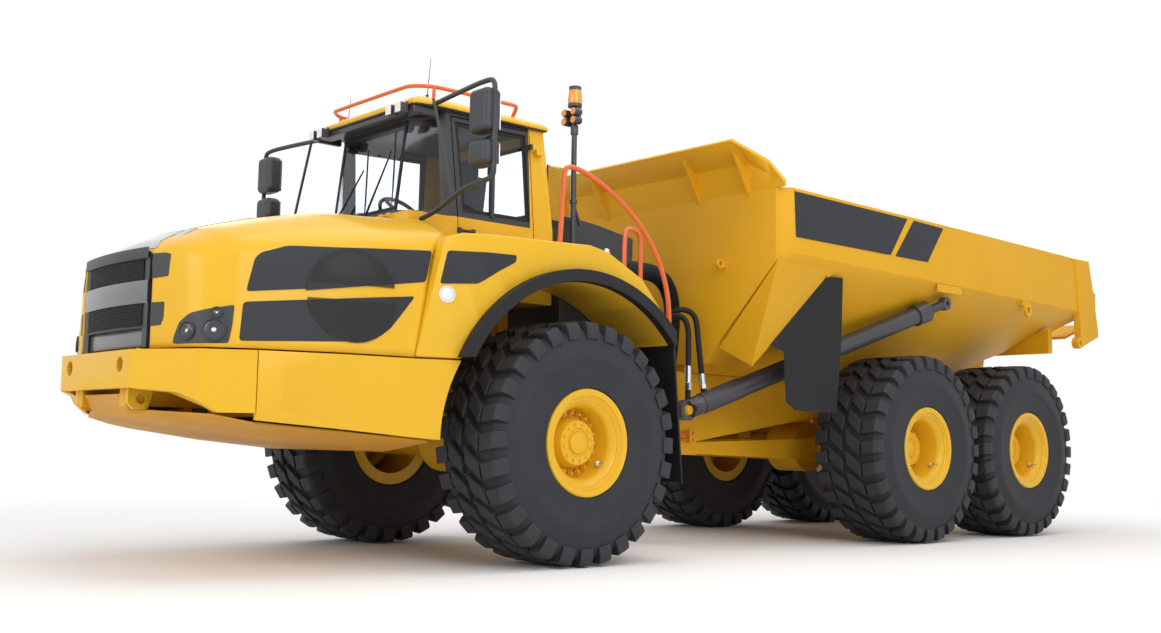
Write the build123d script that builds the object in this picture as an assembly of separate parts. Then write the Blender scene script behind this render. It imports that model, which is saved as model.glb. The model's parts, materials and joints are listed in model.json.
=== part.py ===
from build123d import *
import math
import os

# An articulated six-wheel dump truck, at real size in millimetres.
# +X is forward, +Y is the truck's left, +Z is up. The origin is on the ground,
# under the middle of the truck's length and width.

# Driving sizes along the truck
FRONT_OVERHANG = 3101.0
FRONT_TO_BOGIE = 4518.0
BOGIE_BASE = 1940.0
REAR_OVERHANG = 1705.0
AXLE_TO_JOINT = 1277.0
LENGTH = FRONT_OVERHANG + FRONT_TO_BOGIE + BOGIE_BASE + REAR_OVERHANG
X_NOSE = LENGTH / 2
X_TAIL = -LENGTH / 2
X_FRONT = X_NOSE - FRONT_OVERHANG
X_JOINT = X_FRONT - AXLE_TO_JOINT
X_MID = X_FRONT - FRONT_TO_BOGIE
X_REAR = X_MID - BOGIE_BASE

# Wheels
TYRE_R = 925.0
TYRE_HALF = 372.0
TRACK = 2636.0
RIM_FLANGE_R = 405.0
RIM_SEAT_R = 320.0
RIM_HALF = 325.0
RIM_WALL = 14.0
WHEEL_Y = TRACK / 2
AXLE_Z = TYRE_R

# Clearances
PIN_FIT = 0.1
SEAM = 10.0
RUN_GAP = 5.0

# Front frame
RAIL_IN = 330.0
RAIL_OUT = 430.0
RAIL_Z0 = 1120.0
RAIL_Z1 = 1420.0
RAIL_REAR = X_JOINT + 650.0
THROAT_X = X_JOINT + 340.0
SPINE_HALF = 200.0
LUG_R = 150.0
LUG_T = 80.0
LUG_LOW_Z = 700.0
LUG_TOP_Z = 1340.0
HITCH_PIN_R = 70.0
HITCH_Z = 1060.0

# Cab
CAB_REAR = X_FRONT - 341.0
CAB_FRONT = X_FRONT + 1089.0
CAB_FLOOR_Z = 2050.0
CAB_HALF = 800.0
CAB_BELT_Z = 2660.0
CAB_TOP_Z = 3500.0
DOOR_SILL_Z = 2450.0
CAB_TOP_HALF = 745.0
CAB_TOP_REAR = X_FRONT - 261.0
CAB_TOP_FRONT = X_FRONT + 909.0
CAB_NOSE = X_FRONT + 1009.0
CAB_NOSE_HALF = 470.0
CAB_CORNER = X_FRONT + 679.0
CAB_TOP_CORNER = X_FRONT + 739.0
CAB_WALL = 45.0
GLASS_T = 8.0
ROOF_H = 100.0
MIRROR_OUT = 1700.0
ROOF_HALF = CAB_TOP_HALF + 55.0
ROOF_FRONT = CAB_TOP_FRONT + 135.0
HOOD_REAR = CAB_FRONT + 20.0
HOOD_HINGE_Z = 2645.0
HOOD_HINGE_R = 18.0
HOOD_PIN_R = 9.0

# Fenders and skirts
ARCH_R = 1235.0
FENDER_IN = 880.0
FENDER_OUT = 1580.0
FLARE_OUT = 1660.0
HOOD_LOW_Z = 1500.0
SKIRT_TOP_Z = 1487.0
PANEL_T = 40.0
TANK_IN = RAIL_OUT
TANK_OUT = 1215.0
TANK_Z0 = 1060.0

# Bumper
BUMPER_T = 60.0
TOW_Y = 448.0
TOW_X = X_NOSE - 150.0
TOW_Z = 1168.0
TOW_R = 32.0
TOW_T = 36.0

# Rear frame
BEAM_IN = 300.0
BEAM_OUT = 420.0
BEAM_TOP_Z = 1600.0
TIP_X = -4700.0
TIP_Z = 1500.0
TIP_PIN_R = 60.0
BOGIE_X = (X_MID + X_REAR) / 2
BOGIE_IN = 560.0
BOGIE_OUT = 720.0

# Dump bed
BED_WALL = 25.0
BED_FLOOR_Z = 1680.0
BED_BAND_Y = 1660.0
RUNNER_IN = 280.0
RUNNER_OUT = 440.0
TAIL_PIN_R = 28.0
TAIL_PIN_X = -5093.0
TAIL_PIN_Z = 2172.0
TAIL_EYE_R = TAIL_PIN_R + 36.0

# Hoist cylinders
HOIST_FOOT = (533.0, 760.0, 1236.0)
HOIST_EYE = (-2400.0, 1600.0, 2400.0)
HOIST_BARREL_R = 90.0
HOIST_ROD_R = 45.0
HOIST_BALL_R = 60.0

# Steering cylinders
STEER_BASE = (X_JOINT + 1150.0, 600.0, 1210.0)
STEER_EYE = (X_JOINT - 60.0, 480.0, 1210.0)
STEER_BARREL_R = 60.0
STEER_ROD_R = 30.0
STEER_EYE_H = 140.0


def box(x0, x1, y0, y1, z0, z1):
    """A block between two corners."""
    middle = ((x0 + x1) / 2, (y0 + y1) / 2, (z0 + z1) / 2)
    return Pos(*middle) * Box(abs(x1 - x0), abs(y1 - y0), abs(z1 - z0))


def flat(points):
    """A face through corners in space."""
    return Face(Wire.make_polygon([Vector(*p) for p in points], close=True))


def side(points, y0, y1):
    """A side outline, as (x, z) corners, made solid from y0 to y1."""
    face = flat([(x, y0, z) for x, z in points])
    return extrude(face, amount=abs(y1 - y0), dir=(0, math.copysign(1, y1 - y0), 0))


def plan(points, z0, z1):
    """A plan outline, as (x, y) corners, made solid from z0 to z1."""
    return extrude(flat([(x, y, z0) for x, y in points]), amount=z1 - z0, dir=(0, 0, 1))


def front(points, x0, x1):
    """A front outline, as (y, z) corners, made solid from x0 to x1."""
    return extrude(flat([(x0, y, z) for y, z in points]), amount=x1 - x0, dir=(1, 0, 0))


def skin(sections):
    """A ruled solid through a few closed outlines."""
    wires = [Wire.make_polygon([Vector(*p) for p in s], close=True) for s in sections]
    return Solid.make_loft(wires, ruled=True)


def bar(start, end, r):
    """A round bar between two points."""
    a, b = Vector(*start), Vector(*end)
    return Plane(origin=a, z_dir=b - a) * Pos(0, 0, (b - a).length / 2) * Cylinder(r, (b - a).length)


def round_y(x, z, r, y0, y1):
    """A round bar across the truck."""
    return bar((x, y0, z), (x, y1, z), r)


def tube(points, r, bend):
    """A bent round tube through corner points."""
    path = FilletPolyline(*points, radius=bend)
    start = Plane(origin=points[0], z_dir=Vector(*points[1]) - Vector(*points[0]))
    return sweep(start * Circle(r), path)


def mirrored(shape):
    """The same shape on the truck's other side."""
    return mirror(shape, about=Plane.XZ)


def both(shape):
    """A shape with its copy on the other side, as separate solids."""
    return Compound(list(shape.solids()) + list(mirrored(shape).solids()))


def joined(*shapes):
    """Shapes fused into one."""
    result = shapes[0]
    for shape in shapes[1:]:
        result = result + shape
    return result


def on_side(shape, sign):
    return shape if sign > 0 else mirrored(shape)


# Front frame with the two lugs of the steering joint
def front_frame():
    rail = box(RAIL_REAR, X_NOSE - BUMPER_T, RAIL_IN, RAIL_OUT, RAIL_Z0, RAIL_Z1)
    strut_bracket = joined(
        box(X_FRONT - 80, X_FRONT + 80, RAIL_IN, RAIL_OUT, RAIL_Z1, 1760),
        box(X_FRONT - 80, X_FRONT + 80, RAIL_OUT, 790, 1700, 1760),
    )
    arm = box(CAB_FRONT + 45, CAB_FRONT + 165, RAIL_OUT, FENDER_IN, 1520, 1640)
    arm_post = box(CAB_FRONT + 45, CAB_FRONT + 165, RAIL_IN, RAIL_OUT, RAIL_Z1, 1640)
    half = joined(rail, strut_bracket, arm, arm_post)
    for x in (CAB_REAR + 160, CAB_FRONT - 260):
        half = half + box(x, x + 100, RAIL_IN, RAIL_OUT, RAIL_Z1, CAB_FLOOR_Z)
    frame = joined(half, mirrored(half))
    frame = frame + box(RAIL_REAR, RAIL_REAR + 150, -RAIL_OUT, RAIL_OUT, LUG_LOW_Z, LUG_TOP_Z + LUG_T)
    frame = frame + box(THROAT_X, RAIL_REAR + 150, -SPINE_HALF, SPINE_HALF, LUG_LOW_Z, LUG_TOP_Z + LUG_T)
    frame = frame + box(X_NOSE - 330, X_NOSE - 230, -RAIL_IN, RAIL_IN, RAIL_Z0, RAIL_Z1 - 40)
    for z in (LUG_LOW_Z, LUG_TOP_Z):
        lug = joined(
            Pos(X_JOINT, 0, z + LUG_T / 2) * Cylinder(LUG_R, LUG_T),
            box(X_JOINT, THROAT_X + 10, -LUG_R, LUG_R, z, z + LUG_T),
        )
        frame = frame + lug
    frame = frame - Pos(X_JOINT, 0, HITCH_Z) * Cylinder(HITCH_PIN_R + PIN_FIT, 1000)
    steer_lug = box(STEER_BASE[0] - 60, STEER_BASE[0] + 60, RAIL_OUT, STEER_BASE[1] + 60,
                    STEER_BASE[2] + STEER_EYE_H / 2, STEER_BASE[2] + STEER_EYE_H / 2 + 40)
    return joined(frame, steer_lug, mirrored(steer_lug))


# One axle: tube, gear housing, wheel spindles
AXLE_TUBE_R = 130.0
SPINDLE_R = 110.0
HUB_BORE_IN = 130.0
HUB_BORE_END = 40.0


def axle(x, nose_sign):
    spindle_end = WHEEL_Y - HUB_BORE_END - RUN_GAP
    half = joined(
        round_y(x, AXLE_Z, AXLE_TUBE_R, 0, WHEEL_Y - HUB_BORE_IN - RUN_GAP),
        round_y(x, AXLE_Z, SPINDLE_R, WHEEL_Y - HUB_BORE_IN - RUN_GAP, spindle_end),
    )
    housing = joined(
        round_y(x, AXLE_Z, 260, -190, 190),
        bar((x, 0, AXLE_Z), (x + nose_sign * 420, 0, AXLE_Z), 120),
    )
    return joined(half, mirrored(half), housing)


def front_axle():
    shape = axle(X_FRONT, -1)
    strut = joined(
        bar((X_FRONT, 720, AXLE_Z), (X_FRONT, 720, 1380), 70),
        bar((X_FRONT, 720, 1380), (X_FRONT, 720, 1700), 50),
    )
    return joined(shape, strut, mirrored(strut))


def bogie_axle(x, nose_sign, link_x, link_z):
    shape = axle(x, nose_sign)
    seat = box(x - 100, x + 100, BOGIE_IN - 10, BOGIE_OUT + 10, AXLE_Z, AXLE_Z + 145)
    sign = math.copysign(1, link_x - x)
    arm = side([(x - sign * 60, AXLE_Z - 145), (link_x, link_z[0]), (link_x, link_z[1]),
                (x - sign * 60, AXLE_Z + 95)], BEAM_IN, BEAM_OUT)
    return joined(shape, seat, mirrored(seat), arm, mirrored(arm))


def engine():
    block = box(3750, 4950, -RAIL_IN, RAIL_IN, 1010, 2000)
    gearbox = box(2880, 3750, -260, 260, 960, 1640)
    return joined(block, gearbox)


# Bumper with its two towing ears
def bumper_plan(inset):
    t = inset
    return [(X_NOSE - t, 606 - t * 0.35), (X_NOSE - 269 - t * 0.9, 1067 - t * 0.8), (5052, 1252 - t)]


BUMPER_Z0 = 1080.0
BUMPER_MID_Z0 = 1235.0
EAR_TOP_Z = 1320.0
GRILLE_X = 5500.0
GRILLE_PIVOT_Z = HOOD_LOW_Z + 8


def bumper():
    outer = bumper_plan(0)
    inner = bumper_plan(BUMPER_T)
    ring = outer + [(x, -y) for x, y in reversed(outer)]
    hole = [(5000, 1252 - BUMPER_T)] + [p for p in reversed(inner)]
    hole = hole + [(x, -y) for x, y in reversed(hole)]
    shape = plan(ring, BUMPER_Z0, SKIRT_TOP_Z) - plan(hole, BUMPER_Z0 - 10, SKIRT_TOP_Z - 27)
    shape = shape - box(5250, X_NOSE + 10, -620, 620, BUMPER_Z0 - 10, BUMPER_MID_Z0)
    rise = [(5250, BUMPER_Z0 - 20), (5250, BUMPER_Z0), (TOW_X - TOW_R - 10, TOW_Z + TOW_R + 6),
            (X_NOSE + 10, BUMPER_MID_Z0), (X_NOSE + 10, BUMPER_Z0 - 20)]
    shape = shape - side(rise, -1300, 1300)
    for y in (-TOW_Y, TOW_Y):
        shape = shape - bar((X_NOSE - BUMPER_T - 20, y, 1393), (X_NOSE + 20, y, 1393), 52)
        ear = side([(X_NOSE - BUMPER_T, EAR_TOP_Z), (X_NOSE - BUMPER_T, 1140), (TOW_X + 50, TOW_Z - 70),
                    (TOW_X - 50, TOW_Z - 70), (TOW_X - 110, EAR_TOP_Z)], y - TOW_T / 2, y + TOW_T / 2)
        foot = box(X_NOSE - BUMPER_T, X_NOSE - 20, y - TOW_T / 2, y + TOW_T / 2, BUMPER_MID_Z0, 1300)
        shape = shape + ear + foot
        shape = shape - round_y(TOW_X, TOW_Z, TOW_R, y - TOW_T, y + TOW_T)
        shape = shape + box(GRILLE_X - 50, GRILLE_X + 20, y - 15, y + 15, SKIRT_TOP_Z - 10,
                            GRILLE_PIVOT_Z - 0.2)
    return shape


def side_tanks():
    outline = [(5044, 1252), (4454, 1397), (3956, 1432), (3640, 1530), (3500, 1530)]
    inner = [(x, y - PANEL_T) for x, y in reversed(outline)]
    skirt = plan(outline + inner, 930, SKIRT_TOP_Z)
    trim = side([(3300, 800), (5100, 800), (5100, 1040), (3741, 925), (3300, 925)], 1100, 1700)
    tank = box(3850, 4990, TANK_IN, TANK_OUT, TANK_Z0, 1470)
    tank = tank + box(3950, 4890, TANK_OUT, 1290, 1100, 1380)
    shape = joined(skirt - trim, tank) - round_y(X_FRONT, AXLE_Z, ARCH_R, 1000, 1800)
    return both(shape)


# Tray under the front frame. Columns: x, half width and height of its edge, half width and height of its bottom
BELLY_T = 14.0
BELLY_ROWS = [
    (5565, 322, 1200, 300, 1190),
    (5490, 322, 1086, 300, 1052),
    (5430, 560, 1080, 420, 1044),
    (5250, 1060, 1058, 640, 1012),
    (5050, 1175, 1013, 760, 978),
    (4454, 1340, 963, 850, 900),
    (3800, 1385, 908, 850, 836),
]
# Columns of the tray's straps to the frame: x, height of their foot
BELLY_STRAPS = [(3900, 852), (5100, 992)]


def belly_pan():
    sections = []
    for x, edge, edge_z, bottom, bottom_z in BELLY_ROWS:
        line = [(-edge, edge_z), (-bottom, bottom_z), (bottom, bottom_z), (edge, edge_z)]
        sections.append([(x, y, z) for y, z in line] + [(x, y, z + BELLY_T) for y, z in reversed(line)])
    pan = skin(sections)
    for x, z in BELLY_STRAPS:
        strap = box(x, x + 60, RAIL_IN, RAIL_OUT, z, RAIL_Z0)
        pan = pan + strap + mirrored(strap)
    return pan


# Fenders over the front wheels, and their rubber trims
FENDER_REAR = X_FRONT - 950.0
FENDER_LINE = [(3945, HOOD_LOW_Z), (3757, 2362), (3630, 2400), (2461, 2440), (2281, 2410), (1900, 2230),
               (FENDER_REAR, 1890), (FENDER_REAR, HOOD_LOW_Z)]
FENDER_PLAN = [(4000, FENDER_IN), (4000, 1428), (3945, 1432), (3700, 1500), (3450, FENDER_OUT),
               (FENDER_REAR - 20, FENDER_OUT), (FENDER_REAR - 20, FENDER_IN)]


def fenders():
    shape = side(FENDER_LINE, FENDER_IN, FENDER_OUT) & plan(FENDER_PLAN, HOOD_LOW_Z - 100, HOOD_LOW_Z + 1000)
    return both(shape - round_y(X_FRONT, AXLE_Z, ARCH_R, 700, 1800))


def arch_trims():
    ring = round_y(X_FRONT, AXLE_Z, ARCH_R + 75, FENDER_OUT, FLARE_OUT)
    ring = ring - round_y(X_FRONT, AXLE_Z, ARCH_R - 20, FENDER_OUT - 10, FLARE_OUT + 10)
    keep = side([(FENDER_REAR, 1720), (3700, HOOD_LOW_Z), (3800, 2600), (FENDER_REAR, 2600)],
                FENDER_OUT - 20, FLARE_OUT + 20)
    flare = ring & keep
    x = FENDER_REAR
    flap = side([(x, 1860), (x - 22, 1860), (x - 22, 1690), (x - 123, 616), (x - 105, 616), (x, 1680)],
                970, 1620)
    return both(joined(flare, flap))


DECK_TOP_Z = 2370.0


def deck_module():
    tank = box(1480, CAB_REAR - 20, -FENDER_IN, FENDER_IN, RAIL_Z1, DECK_TOP_Z)
    tank = tank - round_y(X_FRONT, AXLE_Z, ARCH_R - 300, 800, 900)
    cover = side([(1083, 2560), (1083, 2760), (1500, 2830), (1800, 2860), (CAB_REAR - 20, 2860),
                  (CAB_REAR - 20, DECK_TOP_Z), (1480, DECK_TOP_Z), (1300, DECK_TOP_Z + 30)], -620, 620)
    return joined(tank, cover)


# Cab
def cab_outline(rear, corner, nose, half, z):
    """A level outline of the upper cab: its windscreen bows out between two corners."""
    front_half = [(nose, CAB_NOSE_HALF), (corner, half), (rear, half)]
    return [(x, -y, z) for x, y in reversed(front_half)] + [(x, y, z) for x, y in front_half]


def cab_block(inset, low, high):
    """The cab's body, drawn in from its faces by inset, between two heights."""
    t = inset
    belt = (CAB_REAR + t, CAB_CORNER - t * 0.6, CAB_NOSE - t, CAB_HALF - t, CAB_BELT_Z)
    top = (CAB_TOP_REAR + t, CAB_TOP_CORNER - t * 0.6, CAB_TOP_FRONT - t, CAB_TOP_HALF - t, CAB_TOP_Z)
    grow = (high - CAB_BELT_Z) / (CAB_TOP_Z - CAB_BELT_Z)
    sink = -t / (CAB_TOP_Z - CAB_BELT_Z)
    low_end, end = ([b + (a - b) * share for a, b in zip(top, belt)] for share in (sink, grow))
    upper = skin([cab_outline(*low_end), cab_outline(*end)])
    return joined(box(CAB_REAR + t, CAB_FRONT - t, t - CAB_HALF, CAB_HALF - t, low, CAB_BELT_Z - t), upper)


HOOD_HINGE_Y = (-540, 460)
SILL_Z = CAB_BELT_Z + 50
HEAD_Z = CAB_TOP_Z - 60
WINDSCREEN = [(65 - CAB_HALF, SILL_Z), (CAB_HALF - 65, SILL_Z),
              (CAB_TOP_HALF - 55, HEAD_Z), (55 - CAB_TOP_HALF, HEAD_Z)]
REAR_WINDOW = [(180 - CAB_HALF, SILL_Z + 50), (CAB_HALF - 180, SILL_Z + 50),
               (CAB_TOP_HALF - 145, HEAD_Z - 20), (145 - CAB_TOP_HALF, HEAD_Z - 20)]
SIDE_WINDOW = [(CAB_REAR + 230, SILL_Z), (CAB_CORNER - 70, SILL_Z),
               (CAB_TOP_CORNER - 70, HEAD_Z), (CAB_TOP_REAR + 180, HEAD_Z + 20)]
DOOR_LINE = [(CAB_REAR + 195, DOOR_SILL_Z), (CAB_CORNER - 45, DOOR_SILL_Z),
             (CAB_CORNER - 45, CAB_BELT_Z - 40), (CAB_TOP_CORNER - 45, HEAD_Z + 30),
             (CAB_TOP_REAR + 145, HEAD_Z + 45)]
DOOR_GLASS = [(CAB_REAR + 245, SILL_Z), (CAB_CORNER - 95, SILL_Z),
              (CAB_TOP_CORNER - 90, HEAD_Z - 10), (CAB_TOP_REAR + 190, HEAD_Z)]
DOOR_HINGE_X = DOOR_LINE[0][0] - 5
DOOR_HINGE_Y = CAB_HALF + 12.0
DOOR_HINGE_R = 10.0
# Columns: height of the fixed half, how far in its leaf reaches to the sloping side
DOOR_KNUCKLES = [(DOOR_SILL_Z + 70, 14), (CAB_TOP_Z - 200, 60)]


def cab_openings():
    screen = front(WINDSCREEN, CAB_CORNER, CAB_NOSE + 50)
    rear = front(REAR_WINDOW, CAB_REAR - 50, CAB_TOP_REAR + 100)
    right = side(SIDE_WINDOW, -CAB_HALF - 50, -CAB_TOP_HALF + 150)
    return screen, rear, right


def cab_shell():
    shell = cab_block(0, CAB_FLOOR_Z, CAB_TOP_Z) - cab_block(CAB_WALL, CAB_FLOOR_Z + 30, CAB_TOP_Z + 20)
    for opening in cab_openings():
        shell = shell - opening
    shell = shell - side(DOOR_LINE, CAB_TOP_HALF - 150, CAB_HALF + 50)
    for y in HOOD_HINGE_Y:
        for y0 in (y - 24, y + 80):
            shell = shell + round_y(HOOD_REAR, HOOD_HINGE_Z, HOOD_HINGE_R, y0, y0 + 24)
            shell = shell + box(CAB_FRONT - 10, HOOD_REAR, y0, y0 + 24,
                                HOOD_HINGE_Z - HOOD_HINGE_R, HOOD_HINGE_Z)
        shell = shell + round_y(HOOD_REAR, HOOD_HINGE_Z, HOOD_PIN_R, y - 10, y + 90)
    for z, depth in DOOR_KNUCKLES:
        knuckle = joined(
            Pos(DOOR_HINGE_X, DOOR_HINGE_Y, z) * Cylinder(DOOR_HINGE_R, 40),
            box(DOOR_HINGE_X - 60, DOOR_HINGE_X, DOOR_HINGE_Y - depth, DOOR_HINGE_Y, z - 20, z + 20),
        )
        shell = shell + knuckle
    return shell


def cab_glass():
    pane = cab_block(18, CAB_FLOOR_Z, CAB_TOP_Z) - cab_block(18 + GLASS_T, CAB_FLOOR_Z - 10, CAB_TOP_Z + 10)
    return Compound([s for opening in cab_openings() for s in (pane & opening).solids()])


def door_outline():
    (x0, z0), (x1, _), (_, z2), (x3, z3), (x4, z4) = DOOR_LINE
    return [(x0 + SEAM, z0 + SEAM), (x1 - SEAM, z0 + SEAM), (x1 - SEAM, z2 - 2), (x3 - SEAM, z3 - SEAM),
            (x4 + SEAM, z4 - SEAM)]


def door_frame():
    wall = cab_block(0, CAB_FLOOR_Z, CAB_TOP_Z) - cab_block(CAB_WALL, CAB_FLOOR_Z - 10, CAB_TOP_Z + 10)
    leaf = wall & side(door_outline(), CAB_TOP_HALF - 150, CAB_HALF + 50)
    leaf = leaf - side(DOOR_GLASS, CAB_TOP_HALF - 150, CAB_HALF + 50)
    for z, depth in DOOR_KNUCKLES:
        knuckle = joined(
            Pos(DOOR_HINGE_X, DOOR_HINGE_Y, z + 40 + PIN_FIT) * Cylinder(DOOR_HINGE_R, 40),
            box(DOOR_HINGE_X, DOOR_HINGE_X + 75, DOOR_HINGE_Y - depth, DOOR_HINGE_Y + 4,
                z + 20 + PIN_FIT, z + 60 + PIN_FIT),
        )
        leaf = leaf + (knuckle - box(DOOR_HINGE_X - 20, DOOR_HINGE_X + 42, 700, DOOR_HINGE_Y - DOOR_HINGE_R,
                                     z, z + 80))
    return leaf


def door_glass():
    pane = cab_block(18, CAB_FLOOR_Z, CAB_TOP_Z) - cab_block(18 + GLASS_T, CAB_FLOOR_Z - 10, CAB_TOP_Z + 10)
    return pane & side(DOOR_GLASS, CAB_TOP_HALF - 150, CAB_HALF + 50)


def cab_roof():
    z0, z1 = CAB_TOP_Z + 45, CAB_TOP_Z + ROOF_H
    half = [(CAB_TOP_REAR - 30, ROOF_HALF - 10), (ROOF_FRONT - 175, ROOF_HALF), (ROOF_FRONT, ROOF_HALF - 40)]
    rim_line = [(x, -y) for x, y in half] + [(x, y) for x, y in reversed(half)]
    half = [(CAB_TOP_REAR + 60, ROOF_HALF - 120), (ROOF_FRONT - 235, ROOF_HALF - 110),
            (ROOF_FRONT - 95, ROOF_HALF - 140)]
    crown_line = [(x, -y) for x, y in half] + [(x, y) for x, y in reversed(half)]
    crown = skin([[(x, y, z0) for x, y in rim_line], [(x, y, z1) for x, y in crown_line]])
    return joined(plan(rim_line, CAB_TOP_Z, z0), crown)


def cab_interior():
    floor = CAB_FLOOR_Z + 30
    seat = joined(
        box(2600, 2940, -180, 180, floor, 2400),
        box(2540, 3040, -260, 260, 2400, 2520),
        side([(2540, 2480), (2640, 2480), (2560, 3150), (2470, 3150)], -250, 250),
        side([(2480, 3130), (2550, 3130), (2540, 3330), (2475, 3330)], -140, 140),
    )
    x = CAB_CORNER - 40
    dash = side([(x, floor), (CAB_FRONT - CAB_WALL, floor), (CAB_FRONT - CAB_WALL, CAB_BELT_Z - 55),
                 (x + 60, CAB_BELT_Z - 55), (x, 2540)], -700, 700)
    column = bar((3300, 0, 2560), (3150, 0, 2760), 35)
    wheel = Plane(origin=(3150, 0, 2760), z_dir=(-0.6, 0, 0.8)) * Torus(210, 16)
    spoke = Plane(origin=(3150, 0, 2760), z_dir=(-0.6, 0, 0.8)) * Box(400, 40, 14)
    floor_pad = box(2400, x + 20, -600, 600, floor, floor + 12)
    return joined(seat, dash, column, wheel, spoke, floor_pad)


def roof_lamps():
    lamps = []
    for y in (521, 653):
        lamp = joined(
            box(ROOF_FRONT, ROOF_FRONT + 25, y - 25, y + 25, CAB_TOP_Z - 20, CAB_TOP_Z + 30),
            box(ROOF_FRONT + 10, ROOF_FRONT + 80, y - 40, y + 40, CAB_TOP_Z - 65, CAB_TOP_Z + 12),
        )
        lamps.append(lamp)
    return Compound([s for lamp in lamps for s in both(lamp).solids()])


def mirrors():
    x, out, top = CAB_FRONT - 20, MIRROR_OUT, CAB_TOP_Z + 22
    arm = joined(
        tube([(x - 12, CAB_HALF - 20, CAB_BELT_Z - 60), (x - 12, 1000, CAB_BELT_Z - 35), (x - 2, out, 2836),
              (x, out, top - 32), (x - 40, 1300, top), (x - 120, ROOF_HALF - 40, top)], 18, 60),
        box(x - 142, x - 2, out - 210, out + 5, top - 403, top - 75),
        box(x - 132, x - 2, out - 180, out + 5, top - 640, top - 450),
    )
    return both(arm - cab_shell() - cab_roof())


def beacon_mast():
    x, y = 1880, 700
    mast = joined(
        Pos(x, y, DECK_TOP_Z + 8) * Cylinder(60, 16),
        bar((x, y, DECK_TOP_Z), (x, y, 3800), 24),
        Pos(x, y, 3815) * Cylinder(62, 30),
        Pos(x, y, 3905) * Cylinder(55, 150),
    )
    return mast


def handrails():
    y = 1500
    rail = tube([(2711, y, 2420), (2690, y, 2750), (2642, y, 3006), (2560, y, 3000), (1983, y, 2790),
                 (1620, y, 2370), (1513, y, 2150), (1513, y, 1780), (FENDER_REAR - 22, y, 1780)], 20, 40)
    rail = rail - fenders()
    loop = tube([(1745, 1200, 2040), (1740, 1200, 2690), (1640, 1200, 2700), (1560, 1200, 2640),
                 (1556, 1200, 2000)], 20, 60)
    loop = loop + bar((1556, 1200, 2010), (1600, 1200, 2010), 20)
    loop = loop - fenders()
    x, y, z = ROOF_FRONT - 75, ROOF_HALF - 100, CAB_TOP_Z + ROOF_H + 90
    roof = tube([(CAB_TOP_REAR + 230, y - 100, z - 90), (CAB_TOP_REAR + 230, y, z), (x - 150, y, z),
                 (x, y - 140, z), (x, 0, z)], 16, 60)
    post = bar((x - 160, y - 20, z - 130), (x - 150, y, z), 14)
    roof = joined(roof, mirrored(roof), post, mirrored(post)) - cab_roof()
    return Compound(list(both(rail).solids()) + list(both(loop).solids()) + list(roof.solids()))


# Hood that lifts from the nose, and the grille that folds down in front of it
HOOD_T = 25.0
GRILLE_HALF = 556.0
GRILLE_TOP_Z = 2165.0
# Columns: x, half width low, half width at the side's top, its height, half width of the shoulder,
# its height, height in the middle
HOOD_STATIONS = [
    (GRILLE_X, 605, 595, 2050, 560, 2155, 2190),
    (5363, 1040, 960, 2075, 720, 2225, 2285),
    (5052, 1235, 1150, 2170, 830, 2350, 2420),
    (4454, 1380, 1300, 2250, 870, 2500, 2575),
    (3860, 1425, 1370, 2330, 870, 2562, 2612),
    (HOOD_REAR, 1430, 1385, 2360, 870, 2580, 2620),
]


def hood_section(row, inset):
    x, low, top, z_top, shoulder, z_shoulder, z_mid = row
    t = inset
    half = [(low - t, HOOD_LOW_Z - t * 2), (top - t, z_top - t), (shoulder - t, z_shoulder - t),
            (300, z_mid - t)]
    return [(x, y, z) for y, z in half] + [(x, -y, z) for y, z in reversed(half)]


def hood():
    outer = skin([hood_section(row, 0) for row in HOOD_STATIONS])
    rows = [(HOOD_STATIONS[0][0] - 30, *HOOD_STATIONS[0][1:])] + HOOD_STATIONS[1:-1]
    rows = rows + [(HOOD_STATIONS[-1][0] - 60, *HOOD_STATIONS[-1][1:])]
    shell = outer - skin([hood_section(row, HOOD_T) for row in rows])
    grille_hole = box(5300, 5560, -GRILLE_HALF, GRILLE_HALF, HOOD_LOW_Z - 60, GRILLE_TOP_Z)
    seam = side([(3957, 1400), (3957, HOOD_LOW_Z), (3769, 2372), (3600, 2412), (3600, 1400)], -1700, 1700)
    shell = shell - grille_hole - seam
    for y in HOOD_HINGE_Y:
        knuckle = joined(
            round_y(HOOD_REAR, HOOD_HINGE_Z, HOOD_HINGE_R, y + 1, y + 79),
            box(HOOD_REAR, HOOD_REAR + 90, y + 10, y + 70, 2580, HOOD_HINGE_Z),
        )
        shell = shell + (knuckle - round_y(HOOD_REAR, HOOD_HINGE_Z, HOOD_PIN_R + PIN_FIT, y - 10, y + 90))
    return shell


# Dark plates and lamps on the hood's sides. Columns: along, up
PLATE_T = 4.0
UPPER_PLATE = [(5111, 1871), (5055, 2094), (5010, 2137), (4839, 2195), (4500, 2217), (4050, 2247),
               (3815, 2255), (3865, 2033), (4454, 1945)]
LOWER_PLATE = [(5158, 1543), (5128, 1800), (4571, 1857), (3943, 1925), (4021, 1823), (4137, 1686),
               (4217, 1628), (4316, 1581)]
LAMP_PLATE = [(5436, 1530), (5430, 1600), (5420, 1666), (5385, 1722), (5322, 1750), (5179, 1778),
              (5192, 1646), (5210, 1530)]
FAN_X, FAN_Z, FAN_R = 4410.0, 1894.0, 325.0
# Columns: along, up, radius
HEAD_LAMPS = [(5385, 1606, 52), (5280, 1612, 70), (5265, 1722, 34)]


def hood_skin(low, high):
    """The hood's outside, as a thin layer between two depths."""
    outer, inner = (skin([hood_section(row, -depth) for row in HOOD_STATIONS]) for depth in (high, low))
    return outer - inner


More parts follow.
